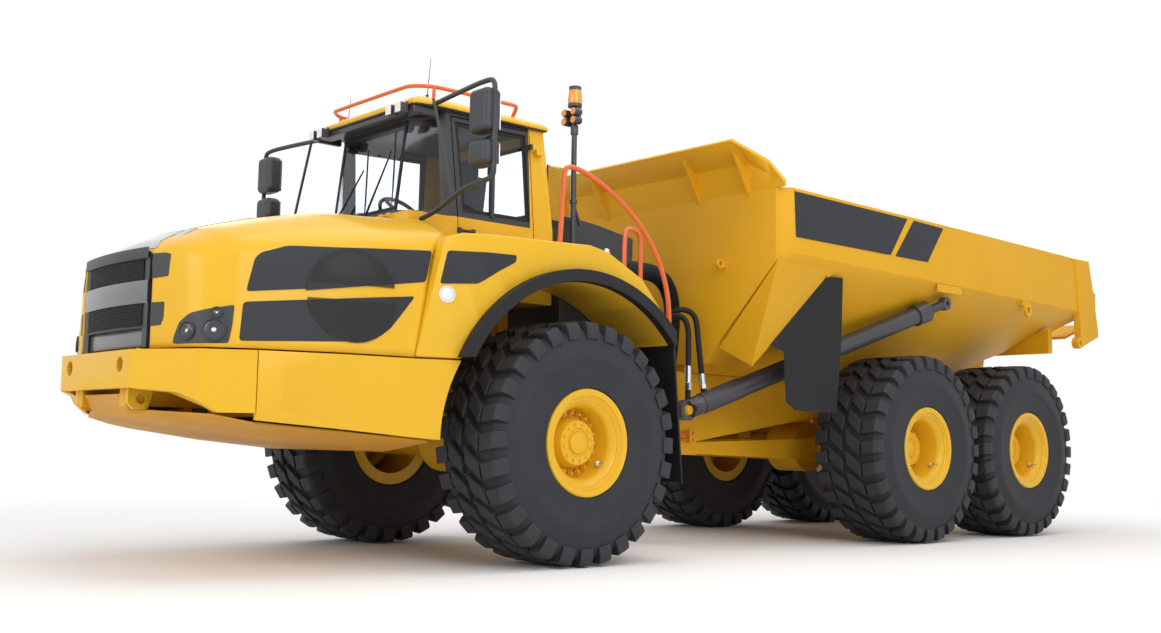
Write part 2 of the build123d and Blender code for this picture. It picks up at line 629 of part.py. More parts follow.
def hood_plates():
    layer = hood_skin(0, PLATE_T)
    plates = joined(*[side(p, 500, 1700) for p in (UPPER_PLATE, LOWER_PLATE, LAMP_PLATE)]) & layer
    fan = (round_y(FAN_X, FAN_Z, FAN_R, 500, 1700) & hood_skin(PLATE_T, PLATE_T * 3)) & joined(
        *[side(p, 500, 1700) for p in (UPPER_PLATE, LOWER_PLATE)])
    return both(Compound(list(plates.solids()) + list(fan.solids())))


def head_lamps():
    lamps = []
    for x, z, r in HEAD_LAMPS:
        lamp = round_y(x, z, r, 500, 1700) & hood_skin(PLATE_T, 26)
        lamps = lamps + list(both(lamp).solids())
    return Compound(lamps)


def grille_hatch():
    half = GRILLE_HALF - 6
    low, high = GRILLE_PIVOT_Z, GRILLE_TOP_Z - 12
    x = GRILLE_X
    frame = box(x - 60, x, -half, half, low, high)
    frame = frame - box(x - 70, x + 10, -half + 50, half - 50, low + 50, high - 50)
    mesh = box(x - 45, x - 33, -half + 50, half - 50, low + 50, high - 50)
    for z in (low + 80, 1930):
        mesh = mesh + box(x - 33, x, -half + 50, half - 50, z, z + 60)
    return joined(frame, mesh)


# The joint between the two halves: it steers about an upright pin and rolls about its long shaft
ROLL_SHAFT_R = 160.0
ROLL_SHAFT_END = X_JOINT - 614.0
ROLL_FLANGE_X = X_JOINT - 190.0


def hitch():
    post = Pos(X_JOINT, 0, (LUG_LOW_Z + LUG_T + LUG_TOP_Z) / 2) * Cylinder(
        LUG_R - 10, LUG_TOP_Z - LUG_LOW_Z - LUG_T - 2 * RUN_GAP)
    pin = Pos(X_JOINT, 0, (LUG_LOW_Z + LUG_TOP_Z + LUG_T) / 2) * Cylinder(
        HITCH_PIN_R, LUG_TOP_Z + LUG_T - LUG_LOW_Z + 20)
    shaft = bar((X_JOINT, 0, HITCH_Z), (ROLL_SHAFT_END, 0, HITCH_Z), ROLL_SHAFT_R)
    flange = bar((ROLL_FLANGE_X, 0, HITCH_Z), (ROLL_FLANGE_X + 50, 0, HITCH_Z), 230)
    arm = box(STEER_EYE[0] - 60, X_JOINT + 60, 90, STEER_EYE[1] + 60, STEER_EYE[2] - 85, STEER_EYE[2] - 50)
    return joined(post, pin, shaft, flange, arm, mirrored(arm))


def rear_frame():
    beam = side([(620, 1400), (310, 1620), (200, BEAM_TOP_Z), (TIP_X - 150, BEAM_TOP_Z),
                 (TIP_X - 150, 1380), (TIP_X + 100, 1330), (-1900, 1245), (21, 960), (21, 830), (620, 830)],
                BEAM_IN, BEAM_OUT)
    bracket = box(BOGIE_X - 120, BOGIE_X + 120, BEAM_IN, BEAM_OUT, 1060, 1300)
    foot_pin = round_y(HOIST_FOOT[0], HOIST_FOOT[2], 40, BEAM_OUT - 20, HOIST_FOOT[1] + 60)
    foot_boss = round_y(HOIST_FOOT[0], HOIST_FOOT[2], 110, BEAM_OUT - 20, HOIST_FOOT[1] - 100)
    ball = Pos(*HOIST_FOOT) * Sphere(HOIST_BALL_R)
    half = joined(beam, bracket, foot_boss, foot_pin, ball)
    frame = joined(half, mirrored(half))
    # Columns: first x, last x, lowest z, highest z of each cross member
    crosses = [(320, 620, 830, 1400), (-700, -560, 1300, 1560), (-2100, -1960, 1320, 1560),
               (-3900, -3760, 1360, 1560)]
    for x0, x1, z0, z1 in crosses:
        frame = frame + box(x0, x1, -BEAM_IN, BEAM_IN, z0, z1)
    frame = frame + round_y(BOGIE_X, 1155, 80, -BOGIE_IN, BOGIE_IN)
    frame = frame + bar((620, 0, HITCH_Z), (ROLL_FLANGE_X - RUN_GAP, 0, HITCH_Z), 240)
    frame = frame - bar((ROLL_SHAFT_END - RUN_GAP, 0, HITCH_Z), (X_JOINT, 0, HITCH_Z), ROLL_SHAFT_R + PIN_FIT)
    return frame - round_y(TIP_X, TIP_Z, TIP_PIN_R + PIN_FIT, -500, 500)


def bogie_beams():
    beam = side([(X_MID + 100, 1070), (X_MID + 100, 1150), (BOGIE_X + 250, 1260), (BOGIE_X - 250, 1260),
                 (X_REAR - 100, 1150), (X_REAR - 100, 1070)], BOGIE_IN, BOGIE_OUT)
    return both(beam)


# Dump bed
# Columns: x, half width of the floor, its height, half width of the fold, its height, half width and
# height of the top
BED_STATIONS = [
    (231, 700, BED_FLOOR_Z, 1552, 2552, 1560, 3225),
    (120, 700, BED_FLOOR_Z, 1640, 2600, BED_BAND_Y, 3225),
    (-3000, 700, 1700, 1640, 2565, BED_BAND_Y, 3180),
    (-3950, 720, 1800, 1640, 2540, BED_BAND_Y, 3165),
    (-5271, 960, 2230, 1640, 2500, BED_BAND_Y, 3140),
]
BED_END = -5271.0
BED_TOP_Z = 3225.0


def bed_section(row, inset, lift):
    x, low, z_low, fold, z_fold, top, z_top = row
    t = inset
    half = [(low, z_low), (fold, z_fold), (top, z_fold + 40), (top, z_top)]
    if inset:
        half = [(low - t * 0.3, z_low + t), (fold - t, z_fold + t * 0.4), (top - 3 * t, z_fold + 180),
                (top - 3 * t, z_top + lift)]
    return [(x, y, z) for y, z in half] + [(x, -y, z) for y, z in reversed(half)]


def bed_tub():
    outer = skin([bed_section(row, 0, 0) for row in BED_STATIONS])
    rows = [(BED_STATIONS[0][0] - BED_WALL, *BED_STATIONS[0][1:])] + BED_STATIONS[1:-1]
    rows = rows + [(BED_END - 60, *BED_STATIONS[-1][1:])]
    tub = outer - skin([bed_section(row, BED_WALL, 60) for row in rows])
    chute_floor = skin([
        [(BED_END, -1400, 2240), (BED_END, 1400, 2240), (BED_END, 1400, 2270), (BED_END, -1400, 2270)],
        [(X_TAIL, -1500, 2410), (X_TAIL, 1500, 2410), (X_TAIL, 1500, 2435), (X_TAIL, -1500, 2435)],
    ])
    post = side([(-5013, 3140), (-5092, 2505), (-5103, 2239), (-5118, 2150), (-5080, 2105),
                 (-5527, 2268), (-5515, 2377), (-5408, 2850), (-5330, 3140)],
                BED_BAND_Y - 60, BED_BAND_Y + 20)
    cheek = side([(-5300, 2240), (-5420, 2830), (X_TAIL, 2800), (X_TAIL, 2410)], 1560, BED_BAND_Y - 60)
    beam = front([(-1400, 2050), (1400, 2050), (1400, 2330), (700, 2150), (-700, 2150), (-1400, 2330)],
                 -4960, -4870)
    runner = box(-4600, 180, RUNNER_IN, RUNNER_OUT, BEAM_TOP_Z + RUN_GAP, BED_FLOOR_Z + 30)
    lift = side([(TIP_X - 120, TIP_Z - 60), (TIP_X, TIP_Z - 110), (TIP_X + 120, TIP_Z - 60),
                 (TIP_X + 260, 2010), (TIP_X - 260, 2100)], BEAM_OUT + 10, BEAM_OUT + 110)
    rear_runner = side([(-4600, BED_FLOOR_Z + 20), (-2900, BED_FLOOR_Z + 20), (-3900, 1820), (-4870, 2130)],
                       RUNNER_IN, RUNNER_OUT)
    eye = round_y(TAIL_PIN_X, TAIL_PIN_Z, TAIL_EYE_R, BED_BAND_Y - 60, BED_BAND_Y + 20)
    half = joined(post, cheek, runner, rear_runner, lift, eye)
    shape = joined(tub, chute_floor, beam, half, mirrored(half))
    shape = shape - skin([bed_section(row, BED_WALL, 60) for row in rows])
    shape = shape + round_y(TIP_X, TIP_Z, TIP_PIN_R, -BEAM_OUT - 110, BEAM_OUT + 110)
    tail_hole = round_y(TAIL_PIN_X, TAIL_PIN_Z, TAIL_PIN_R, BED_BAND_Y - 70, BED_BAND_Y + 40)
    return shape - tail_hole - mirrored(tail_hole)


# Blank dark plates on the bed's side bands. Columns: along, up
BAND_PLATES = [
    [(60, 2720), (60, 3150), (-1850, 3120), (-1730, 2700)],
    [(-1820, 2700), (-1940, 3118), (-2640, 3108), (-2600, 2690)],
]


def bed_plates():
    plates = [side(p, BED_BAND_Y, BED_BAND_Y + 5) for p in BAND_PLATES]
    return Compound([s for p in plates for s in both(p).solids()])


def bed_guard():
    # Columns: y, x and z of the lip, x and z of the bend below it
    rows = [(0, 551, 3660, 300, 3480), (1300, 551, 3660, 300, 3480), (1500, 270, 3480, 240, 3360),
            (BED_BAND_Y - 5, 236, 3290, 233, 3250)]
    sections = []
    for y, x, z, bend_x, bend_z in rows:
        sections.append([(205, y, BED_TOP_Z), (231, y, BED_TOP_Z), (bend_x, y, bend_z - 10), (x, y, z - 22),
                         (x - 26, y, z), (bend_x - 26, y, bend_z + 14)])
    half = skin(sections)
    gussets = [side([(230, BED_TOP_Z - 60), (490, 3595), (295, 3470), (228, BED_TOP_Z + 10)], y - 10, y + 10)
               for y in (640, 1250)]
    shape = joined(half, mirrored(half), *gussets, *[mirrored(g) for g in gussets])
    return shape - skin([bed_section(row, 0, 0) for row in BED_STATIONS[:2]])


def back(point):
    """A corner moved through the wing plate's thickness."""
    return (point[0] - 14, point[1] - 10, point[2] + 10)


def bed_outside():
    return skin([bed_section(row, 0, 0) for row in BED_STATIONS])


def bed_wings():
    inner, outer = [(231, 842, 1800), (231, 1552, 2552)], [(-60, 1180, 1860), (-600, 1600, 2460)]
    sections = []
    for low, top in (inner, outer):
        sections.append([low, top, back(top), back(low)])
    return both(skin(sections) - bed_outside())


def stone_flaps():
    flap = side([(-848, 1264), (-238, 1246), (-120, 1790), (60, 1845), (-880, 2600)], 1390, 1408)
    return both(flap - bed_outside() - bed_wings())


def along(a, b, distance):
    d = Vector(*b) - Vector(*a)
    p = Vector(*a) + d * (distance / d.length)
    return (p.X, p.Y, p.Z)


HOIST_LENGTH = (Vector(*HOIST_EYE) - Vector(*HOIST_FOOT)).length
HOIST_BARREL_L = HOIST_LENGTH - 260.0


def hoist_barrel():
    a, b = HOIST_FOOT, HOIST_EYE
    eye = round_y(a[0], a[2], 95, a[1] - 40, a[1] + 40)
    body = bar(along(a, b, 40), along(a, b, HOIST_BARREL_L), HOIST_BARREL_R)
    collar = bar(along(a, b, HOIST_BARREL_L - 160), along(a, b, HOIST_BARREL_L), HOIST_BARREL_R + 18)
    foot = bar(along(a, b, 180), along(a, b, 620), HOIST_BARREL_R + 8)
    shape = joined(eye, body, collar, foot)
    shape = shape - bar(along(a, b, 200), along(a, b, HOIST_LENGTH), HOIST_ROD_R + PIN_FIT)
    ball_room = Pos(*a) * Sphere(HOIST_BALL_R + 0.3)
    pin_room = round_y(a[0], a[2], 52, a[1] - 200, a[1] + 200)
    return shape - ball_room - pin_room


def hoist_rod():
    a, b = HOIST_FOOT, HOIST_EYE
    rod = bar(along(a, b, 230), b, HOIST_ROD_R)
    eye = round_y(b[0], b[2], 68, b[1] - 32, b[1] + 32)
    return joined(rod, eye) - round_y(b[0], b[2], 28, b[1] - 60, b[1] + 60)


STEER_LENGTH = (Vector(*STEER_EYE) - Vector(*STEER_BASE)).length
STEER_ROD_START = 440.0


def steering_barrels():
    a, b = STEER_BASE, STEER_EYE
    lug = Pos(a[0], a[1], a[2]) * Cylinder(55, STEER_EYE_H)
    body = bar(along(a, b, 20), along(a, b, 800), STEER_BARREL_R)
    body = joined(lug, body) - bar(along(a, b, 80), along(a, b, STEER_LENGTH), STEER_ROD_R + PIN_FIT)
    return both(body)


def steering_rod():
    a, b = STEER_BASE, STEER_EYE
    rod = bar(along(a, b, STEER_ROD_START), b, STEER_ROD_R)
    return rod + Pos(b[0], b[1], b[2]) * Cylinder(48, 80)


# Hoses over the joint, and those to the foot of each hoist cylinder
SLEEVE_R = 80.0
FEED_R = 26.0


def link_hoses():
    line = [(1290, 450, 2500), (900, 450, 2520), (560, 450, 2500), (400, 450, 2300), (375, 430, 1950),
            (385, 362, 1500)]
    return tube(line, SLEEVE_R, 150) - deck_module() - rear_frame()


def frame_hoses():
    lines = [
        [(600, 360, 1400), (615, 380, 1700), (620, 600, 2110), (520, 770, 2090), (497, 760, 1770),
         (505, 760, 1310)],
        [(540, 360, 1440), (555, 380, 1800), (600, 600, 2160), (430, 780, 2160), (400, 790, 1850),
         (345, 812, 1380)],
    ]
    keep_out = joined(rear_frame(), hoist_barrel())
    hoses = [tube(line, FEED_R, 80) - keep_out for line in lines]
    return Compound([s for hose in hoses for s in both(max(hose.solids(), key=lambda s: s.volume)).solids()])


# Guard of mesh beside the cab's back window
def mesh_guard():
    y0, y1 = 694, 702
    sheet = box(2010, 2168, y0, y1, CAB_BELT_Z + 120, CAB_TOP_Z - 260)
    for x in (2010, 2168):
        sheet = sheet + bar((x, (y0 + y1) / 2, DECK_TOP_Z), (x, (y0 + y1) / 2, CAB_TOP_Z - 250), 12)
    return sheet


# Wheels
LUGS = 28
GROOVE_R = TYRE_R - 47.0
TREAD_HALF = 335.0
BULGE_R = 640.0
LUG_SHARE = 0.62
LUG_SLOPE = 0.04
WELL_FLATS = 16
AIR_FLATS = 10
AIR_R = 820.0
AIR_HALF = 240.0
BEAD_OUT = RIM_HALF - 26.0
# A ring of flats stays outside a circle when its corners are this much farther out
FLAT_RING = 1 / math.cos(math.pi / WELL_FLATS)


def flat_ring(x, y, r, count=LUGS):
    """Corners of a ring of flats round a wheel's axle."""
    step = math.tau / count
    return [(x + r * math.sin(step * i), y, AXLE_Z + r * math.cos(step * i)) for i in range(count)]


def lug_ring(x, y):
    """Corners of the tread's outline: one lug and one groove for each flat."""
    step = math.tau / LUGS
    corners = []
    lug_r = TYRE_R / math.cos(step * (LUG_SHARE / 2 - LUG_SLOPE))
    places = ((0.0, GROOVE_R), (LUG_SLOPE, lug_r), (LUG_SHARE - LUG_SLOPE, lug_r), (LUG_SHARE, GROOVE_R))
    for i in range(LUGS):
        for place, r in places:
            angle = step * (i - LUG_SHARE / 2 + place)
            corners.append((x + r * math.sin(angle), y, AXLE_Z + r * math.cos(angle)))
    return corners


def turned(section, x, y, sign):
    """A section, as (out from the wheel's middle, radius) corners, turned about the wheel's axis."""
    face = flat([(x, y + sign * o, AXLE_Z + r) for o, r in section])
    return revolve(face, axis=Axis((x, 0, AXLE_Z), (0, 1, 0)), revolution_arc=360)


def tyre(x, sign):
    """A tyre in flats, with its lugs: the side walls slope out to the bulge and in again to the bead."""
    y = sign * WHEEL_Y
    seat = (RIM_SEAT_R + PIN_FIT) * FLAT_RING
    bead = (RIM_FLANGE_R + 2) * FLAT_RING
    shape = extrude(flat(lug_ring(x, y - TREAD_HALF)), amount=2 * TREAD_HALF, dir=(0, 1, 0))
    for out in (-1, 1):
        edge, wall_end, well_end = (y + out * o for o in (TREAD_HALF, TYRE_HALF, BEAD_OUT))
        shape = shape + skin([flat_ring(x, edge, GROOVE_R - 6), flat_ring(x, wall_end, BULGE_R)])
        beyond = y + out * (TYRE_HALF + 10)
        well = [flat_ring(x, well_end, bead, WELL_FLATS), flat_ring(x, beyond, BULGE_R, WELL_FLATS)]
        shape = shape - skin(well)
    air = skin([flat_ring(x, y + out * AIR_HALF, AIR_R, AIR_FLATS) for out in (-1, 1)])
    bore = skin([flat_ring(x, y + out * TYRE_HALF, seat, WELL_FLATS) for out in (-1, 1)])
    return shape - bore - air


# Columns: disc place out from the wheel's middle, hub's outer face, hub cap radius
FRONT_DISH = (110, 230, 190)
REAR_DISH = (40, 150, 175)


def rim(x, sign, dish):
    disc, cap, cap_r = dish
    bore = SPINDLE_R + PIN_FIT
    w = RIM_SEAT_R - RIM_WALL
    section = [(RIM_HALF, w), (RIM_HALF, RIM_FLANGE_R), (RIM_HALF - 25, RIM_FLANGE_R),
               (RIM_HALF - 25, RIM_SEAT_R), (-RIM_HALF + 25, RIM_SEAT_R), (-RIM_HALF + 25, RIM_FLANGE_R),
               (-RIM_HALF, RIM_FLANGE_R), (-RIM_HALF, w), (disc - 40, w), (disc - 40, 200),
               (-HUB_BORE_IN, 200), (-HUB_BORE_IN, bore), (-HUB_BORE_END, bore), (-HUB_BORE_END, 0),
               (cap, 0), (cap, cap_r - 25), (cap - 25, cap_r), (disc, cap_r + 20), (disc, w)]
    return turned(section, x, sign * WHEEL_Y, sign)


WHEELS = [("front", X_FRONT, FRONT_DISH), ("mid", X_MID, REAR_DISH), ("rear", X_REAR, REAR_DISH)]

NODES = {
    "front_frame": front_frame,
    "front_axle": front_axle,
    "engine_and_gearbox": engine,
    "bumper": bumper,
    "side_tanks": side_tanks,
    "belly_pan": belly_pan,
    "fenders": fenders,
    "arch_trims": arch_trims,
    "deck_module": deck_module,
    "cab_shell": cab_shell,
    "cab_glass": cab_glass,
    "cab_roof": cab_roof,
    "cab_interior": cab_interior,
    "roof_lamps": roof_lamps,
    "mirrors": mirrors,
    "beacon_mast": beacon_mast,
    "handrails": handrails,
    "steering_barrels": steering_barrels,
    "door_frame": door_frame,
    "door_glass": door_glass,
    "hood": hood,
    "hood_plates": hood_plates,
    "head_lamps": head_lamps,
    "grille_hatch": grille_hatch,
    "mesh_guard": mesh_guard,
    "link_hoses": link_hoses,
    "hitch": hitch,
    "rear_frame": rear_frame,
    "frame_hoses": frame_hoses,
    "bogie_beams": bogie_beams,
    "mid_axle": lambda: bogie_axle(X_MID, -1, 21, (840, 950)),
    "rear_axle": lambda: bogie_axle(X_REAR, 1, BOGIE_X - 120, (1062, 1160)),
    "bed_tub": bed_tub,
    "bed_plates": bed_plates,
    "bed_guard": bed_guard,
    "bed_wings": bed_wings,
    "stone_flaps": stone_flaps,
}
for name, sign in (("left", 1), ("right", -1)):
    NODES["hoist_barrel_" + name] = lambda s=sign: on_side(hoist_barrel(), s)
    NODES["hoist_rod_" + name] = lambda s=sign: on_side(hoist_rod(), s)
    NODES["steering_rod_" + name] = lambda s=sign: on_side(steering_rod(), s)
    for place, x, dish in WHEELS:
        NODES["tyre_" + place + "_" + name] = lambda s=sign, x=x: tyre(x, s)
        NODES["rim_" + place + "_" + name] = lambda s=sign, x=x, d=dish: rim(x, s, d)

os.makedirs("parts", exist_ok=True)
for node, make in NODES.items():
    shape = make()
    solids = shape.solids()
    export_step(shape if isinstance(shape, Compound) else Compound(list(solids)), "parts/" + node + ".step")
    print(node, len(solids))
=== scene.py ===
# %% [markdown]
# # An articulated dump truck, dressed for its picture
# The construction model already holds every piece at its real size, in metres, with +X forward,
# +Y to the truck's left and +Z up. This lesson gives those pieces their paint, rubber, glass and
# plastic, and adds what is too fine for the construction model: tread, bolts, lamps, seams and hoses.

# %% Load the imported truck
import json
import math

import bmesh
import bpy
from mathutils import Matrix, Vector
from mathutils.bvhtree import BVHTree

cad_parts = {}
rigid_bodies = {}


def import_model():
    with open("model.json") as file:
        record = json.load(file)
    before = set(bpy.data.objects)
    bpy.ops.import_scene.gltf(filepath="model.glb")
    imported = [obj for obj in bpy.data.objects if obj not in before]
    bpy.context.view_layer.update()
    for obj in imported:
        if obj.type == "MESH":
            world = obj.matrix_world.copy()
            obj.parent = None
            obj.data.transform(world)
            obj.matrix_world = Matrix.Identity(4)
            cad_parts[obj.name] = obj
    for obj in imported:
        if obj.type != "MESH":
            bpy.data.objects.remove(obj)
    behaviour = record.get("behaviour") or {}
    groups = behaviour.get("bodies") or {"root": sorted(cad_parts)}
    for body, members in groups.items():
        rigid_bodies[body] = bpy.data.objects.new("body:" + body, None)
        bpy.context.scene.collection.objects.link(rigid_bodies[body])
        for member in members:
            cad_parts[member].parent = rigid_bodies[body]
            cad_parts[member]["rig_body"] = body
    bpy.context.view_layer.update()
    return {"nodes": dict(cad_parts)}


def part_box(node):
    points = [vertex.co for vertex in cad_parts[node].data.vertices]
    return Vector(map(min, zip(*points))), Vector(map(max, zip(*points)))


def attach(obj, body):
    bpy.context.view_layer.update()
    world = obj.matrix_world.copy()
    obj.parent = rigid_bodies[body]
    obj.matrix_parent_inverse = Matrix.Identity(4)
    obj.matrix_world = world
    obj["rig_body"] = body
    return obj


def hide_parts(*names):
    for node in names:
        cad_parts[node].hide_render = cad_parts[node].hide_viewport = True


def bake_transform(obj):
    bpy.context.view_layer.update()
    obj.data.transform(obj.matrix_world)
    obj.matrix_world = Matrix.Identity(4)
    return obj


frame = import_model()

NODES = frame["nodes"]

# %% [markdown]
# ## Camera and studio
# The photograph was taken low, in front of the left front corner, with a fairly long lens. The camera is set
# from a fit of the truck's known sizes. The floor is white and so is the world that the camera sees, and both
# keep the soft shadow under the wheels.

# %% Camera
CAMERA_PLACE = Vector((8.954, 8.761, 0.922))
CAMERA_LOOK = Vector((-0.66182, -0.74307, 0.09915))
CAMERA_ROLL = math.radians(0.95)


def linked(name, data):
    """A new object in the scene."""
    thing = bpy.data.objects.new(name, data)
    bpy.context.scene.collection.objects.link(thing)
    return thing


def facing(place, way, axis="Z"):
    """The matrix that stands a thing at a place with one of its axes along a way."""
    return Matrix.Translation(place) @ way.to_track_quat(axis, "Y").to_matrix().to_4x4()


camera_data = bpy.data.cameras.new("camera")
camera_data.sensor_width = 36.0
camera_data.lens = 39.43
camera = linked("camera", camera_data)
camera.matrix_world = facing(CAMERA_PLACE, CAMERA_LOOK, "-Z") @ Matrix.Rotation(CAMERA_ROLL, 4, "Z")
bpy.context.scene.camera = camera
bpy.context.scene.view_settings.view_transform = "Standard"

# %% [markdown]
# ## Hoses
# A thick ribbed sleeve of hoses crosses the joint, and two pressure hoses go down to the foot of each hoist
# cylinder. All of them are held at both ends. A pressure hose is a smooth curve with a round bevel, turned
# into a mesh. The sleeve changes its thickness from rib to rib, which a bevel can't do, so later on rings of
# two sizes are bridged along points read from its smooth line.

# %% Routes of the hoses
SLEEVE_ROUTE = [
    (1.29, 0.45, 2.5), (0.9, 0.45, 2.52), (0.56, 0.45, 2.5), (0.4, 0.45, 2.3), (0.375, 0.43, 1.95),
    (0.385, 0.362, 1.5),
]
# Each pressure hose: its route on the left side and its real length
FEED_ROUTES = {
    "outer": ([(0.6, 0.36, 1.4), (0.615, 0.38, 1.7), (0.62, 0.6, 2.11), (0.52, 0.77, 2.09),
               (0.497, 0.76, 1.77), (0.505, 0.76, 1.31)], 1.66),
    "inner": ([(0.54, 0.36, 1.44), (0.555, 0.38, 1.8), (0.6, 0.6, 2.16), (0.43, 0.78, 2.16),
               (0.4, 0.79, 1.85), (0.345, 0.812, 1.38)], 1.72),
}
FEED_R = 0.026
SIDES = (("left", 1), ("right", -1))
# Points nearer to each other than this are one point
TOUCHING = 1e-5


def smooth_curve(points, resolution):
    """A curve of one open spline whose points are its control points."""
    data = bpy.data.curves.new("line", "CURVE")
    data.dimensions = "3D"
    data.resolution_u = resolution
    spline = data.splines.new("NURBS")
    spline.points.add(len(points) - 1)
    for point, place in zip(spline.points, points):
        point.co = (*place, 1)
    spline.order_u = 3
    spline.use_endpoint_u = True
    return linked("line", data)


def curve_mesh(curve):
    """The mesh that a curve makes, with the curve removed."""
    bpy.context.view_layer.update()
    mesh = bpy.data.meshes.new_from_object(curve.evaluated_get(bpy.context.evaluated_depsgraph_get()))
    bpy.data.curves.remove(curve.data)
    return mesh


def read_line(points, resolution):
    """Points read along a smooth curve."""
    mesh = curve_mesh(smooth_curve(points, resolution))
    line = [v.co.copy() for v in mesh.vertices]
    bpy.data.meshes.remove(mesh)
    return line


def pipe(points, r, resolution=6, rounds=3):
    """A round pipe with closed ends along a smooth curve, as a bmesh."""
    curve = smooth_curve(points, resolution)
    curve.data.bevel_depth = r
    curve.data.bevel_resolution = rounds
    curve.data.use_fill_caps = True
    mesh = curve_mesh(curve)
    bm = bmesh.new()
    bm.from_mesh(mesh)
    bpy.data.meshes.remove(mesh)
    return bm


def mesh_of(name, bm):
    """Turns a bmesh into a mesh."""
    mesh = bpy.data.meshes.new(name)
    bm.to_mesh(mesh)
    bm.free()
    return mesh


def shaped(name, bm, smooth):
    """Turns a bmesh into an object with its faces outwards. Edges sharper than an angle stay sharp."""
    bmesh.ops.remove_doubles(bm, verts=bm.verts, dist=TOUCHING)
    bmesh.ops.recalc_face_normals(bm, faces=bm.faces)
    mesh = mesh_of(name, bm)
    mesh.shade_smooth()
    mesh.set_sharp_from_angle(angle=math.radians(smooth))
    return linked(name, mesh)


FEEDS = []
for place, (route, length) in FEED_ROUTES.items():
    for side, sign in SIDES:
        points = [(x, sign * y, z) for x, y, z in route]
        hose = shaped(f"hoist_hose_{place}_{side}", pipe(points, FEED_R, 12, 4), 50)
        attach(hose, "rear_frame")
        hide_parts("frame_hoses")
        read_line(points, 12)
        FEEDS.append(hose)
print("hoses", [hose.name for hose in FEEDS])


# %% Nodes of a material
def set_on(node, **values):
    """Sets a shader node's named inputs, or else its attributes. An underscore stands for a space."""
    for key, value in values.items():
        name = key.replace("_", " ")
        if name in node.inputs:
            node.inputs[name].default_value = value
        else:
            setattr(node, key, value)
    return node


def node_of(tree, kind, **values):
    """Adds a shader node with its values."""
    return set_on(tree.nodes.new("ShaderNode" + kind), **values)


def joined(tree, *rows):
    """Links sockets. Each row: a node, its output, the next node, its input."""
    for source, out, node, socket in rows:
        tree.links.new(source.outputs[out], node.inputs[socket])


def new_material(name):
    """A material with its node tree and its shader."""
    material = bpy.data.materials.new(name)
    material.use_nodes = True
    return material, material.node_tree, material.node_tree.nodes["Principled BSDF"]


# %% Floor, world and lamps
def sees_white(tree, shader, white, out):
    """The camera, mirrors and glass see white. Everything else sees the plain shader."""
    path = node_of(tree, "LightPath")
    most = node_of(tree, "Math", operation="MAXIMUM")
    both = node_of(tree, "Math", operation="MAXIMUM")
    mix = node_of(tree, "MixShader")
    joined(tree, (path, "Is Camera Ray", most, 0), (path, "Is Glossy Ray", most, 1), (most, 0, both, 0),
           (path, "Is Transmission Ray", both, 1), (both, 0, mix, "Fac"), (shader, 0, mix, 1),
           (white, 0, mix, 2), (mix, 0, out, "Surface"))


WHITE = (1.0, 1.0, 1.0, 1)
world = bpy.data.worlds.new("studio")
bpy.context.scene.world = world
world.use_nodes = True
tree = world.node_tree
tree.nodes.clear()
plain = node_of(tree, "Background", Color=WHITE, Strength=0.5)
white = node_of(tree, "Background", Color=WHITE, Strength=1.0)
sees_white(tree, plain, white, node_of(tree, "OutputWorld"))

floor_finish, tree, matt = new_material("studio_floor")
set_on(matt, Base_Color=(0.95, 0.95, 0.95, 1), Roughness=0.9)
# Near the truck the floor takes its shadow. Far from it the floor fades into the white of the world.
place = node_of(tree, "TexCoord")
reach = node_of(tree, "VectorMath", operation="LENGTH")
fade = node_of(tree, "MapRange", From_Min=6.5, From_Max=10.0)
pure = node_of(tree, "Emission", Color=WHITE)
faded = node_of(tree, "MixShader")
joined(tree, (place, "Object", reach, 0), (reach, "Value", fade, "Value"), (fade, "Result", faded, "Fac"),
       (matt, 0, faded, 1), (pure, 0, faded, 2))
sees_white(tree, matt, faded, tree.nodes["Material Output"])
bm = bmesh.new()
bmesh.ops.create_grid(bm, x_segments=1, y_segments=1, size=60)
floor = linked("studio_floor", mesh_of("studio_floor", bm))
floor.data.materials.append(floor_finish)


def lamp(name, place, target, size, watts):
    """A soft square lamp that looks at a target."""
    data = bpy.data.lights.new(name, "AREA")
    data.size = size
    data.energy = watts
    light = linked(name, data)
    light.location = place
    light.rotation_euler = (Vector(target) - Vector(place)).to_track_quat("-Z", "Y").to_euler()


lamp("lamp_left", (6.0, 14.0, 9.0), (0, 0, 1.5), 9.0, 900)
lamp("lamp_front", (16.0, 1.0, 7.0), (2, 0, 1.8), 7.0, 500)
lamp("lamp_top", (-1.0, 2.0, 13.0), (-1, 0, 0), 12.0, 820)
lamp("lamp_right", (-4.0, -12.0, 7.0), (-1, 0, 1.5), 8.0, 340)

# %% [markdown]
# ## Surface groups
# Every finish has a little life: paint drifts in tone and has a fine orange peel, rubber is mottled and
# dusty, moulded plastic has a grain. One group gives that to all of them, each with its own numbers. It gives
# out a colour, a roughness and a normal, and the shader itself stays in the material.


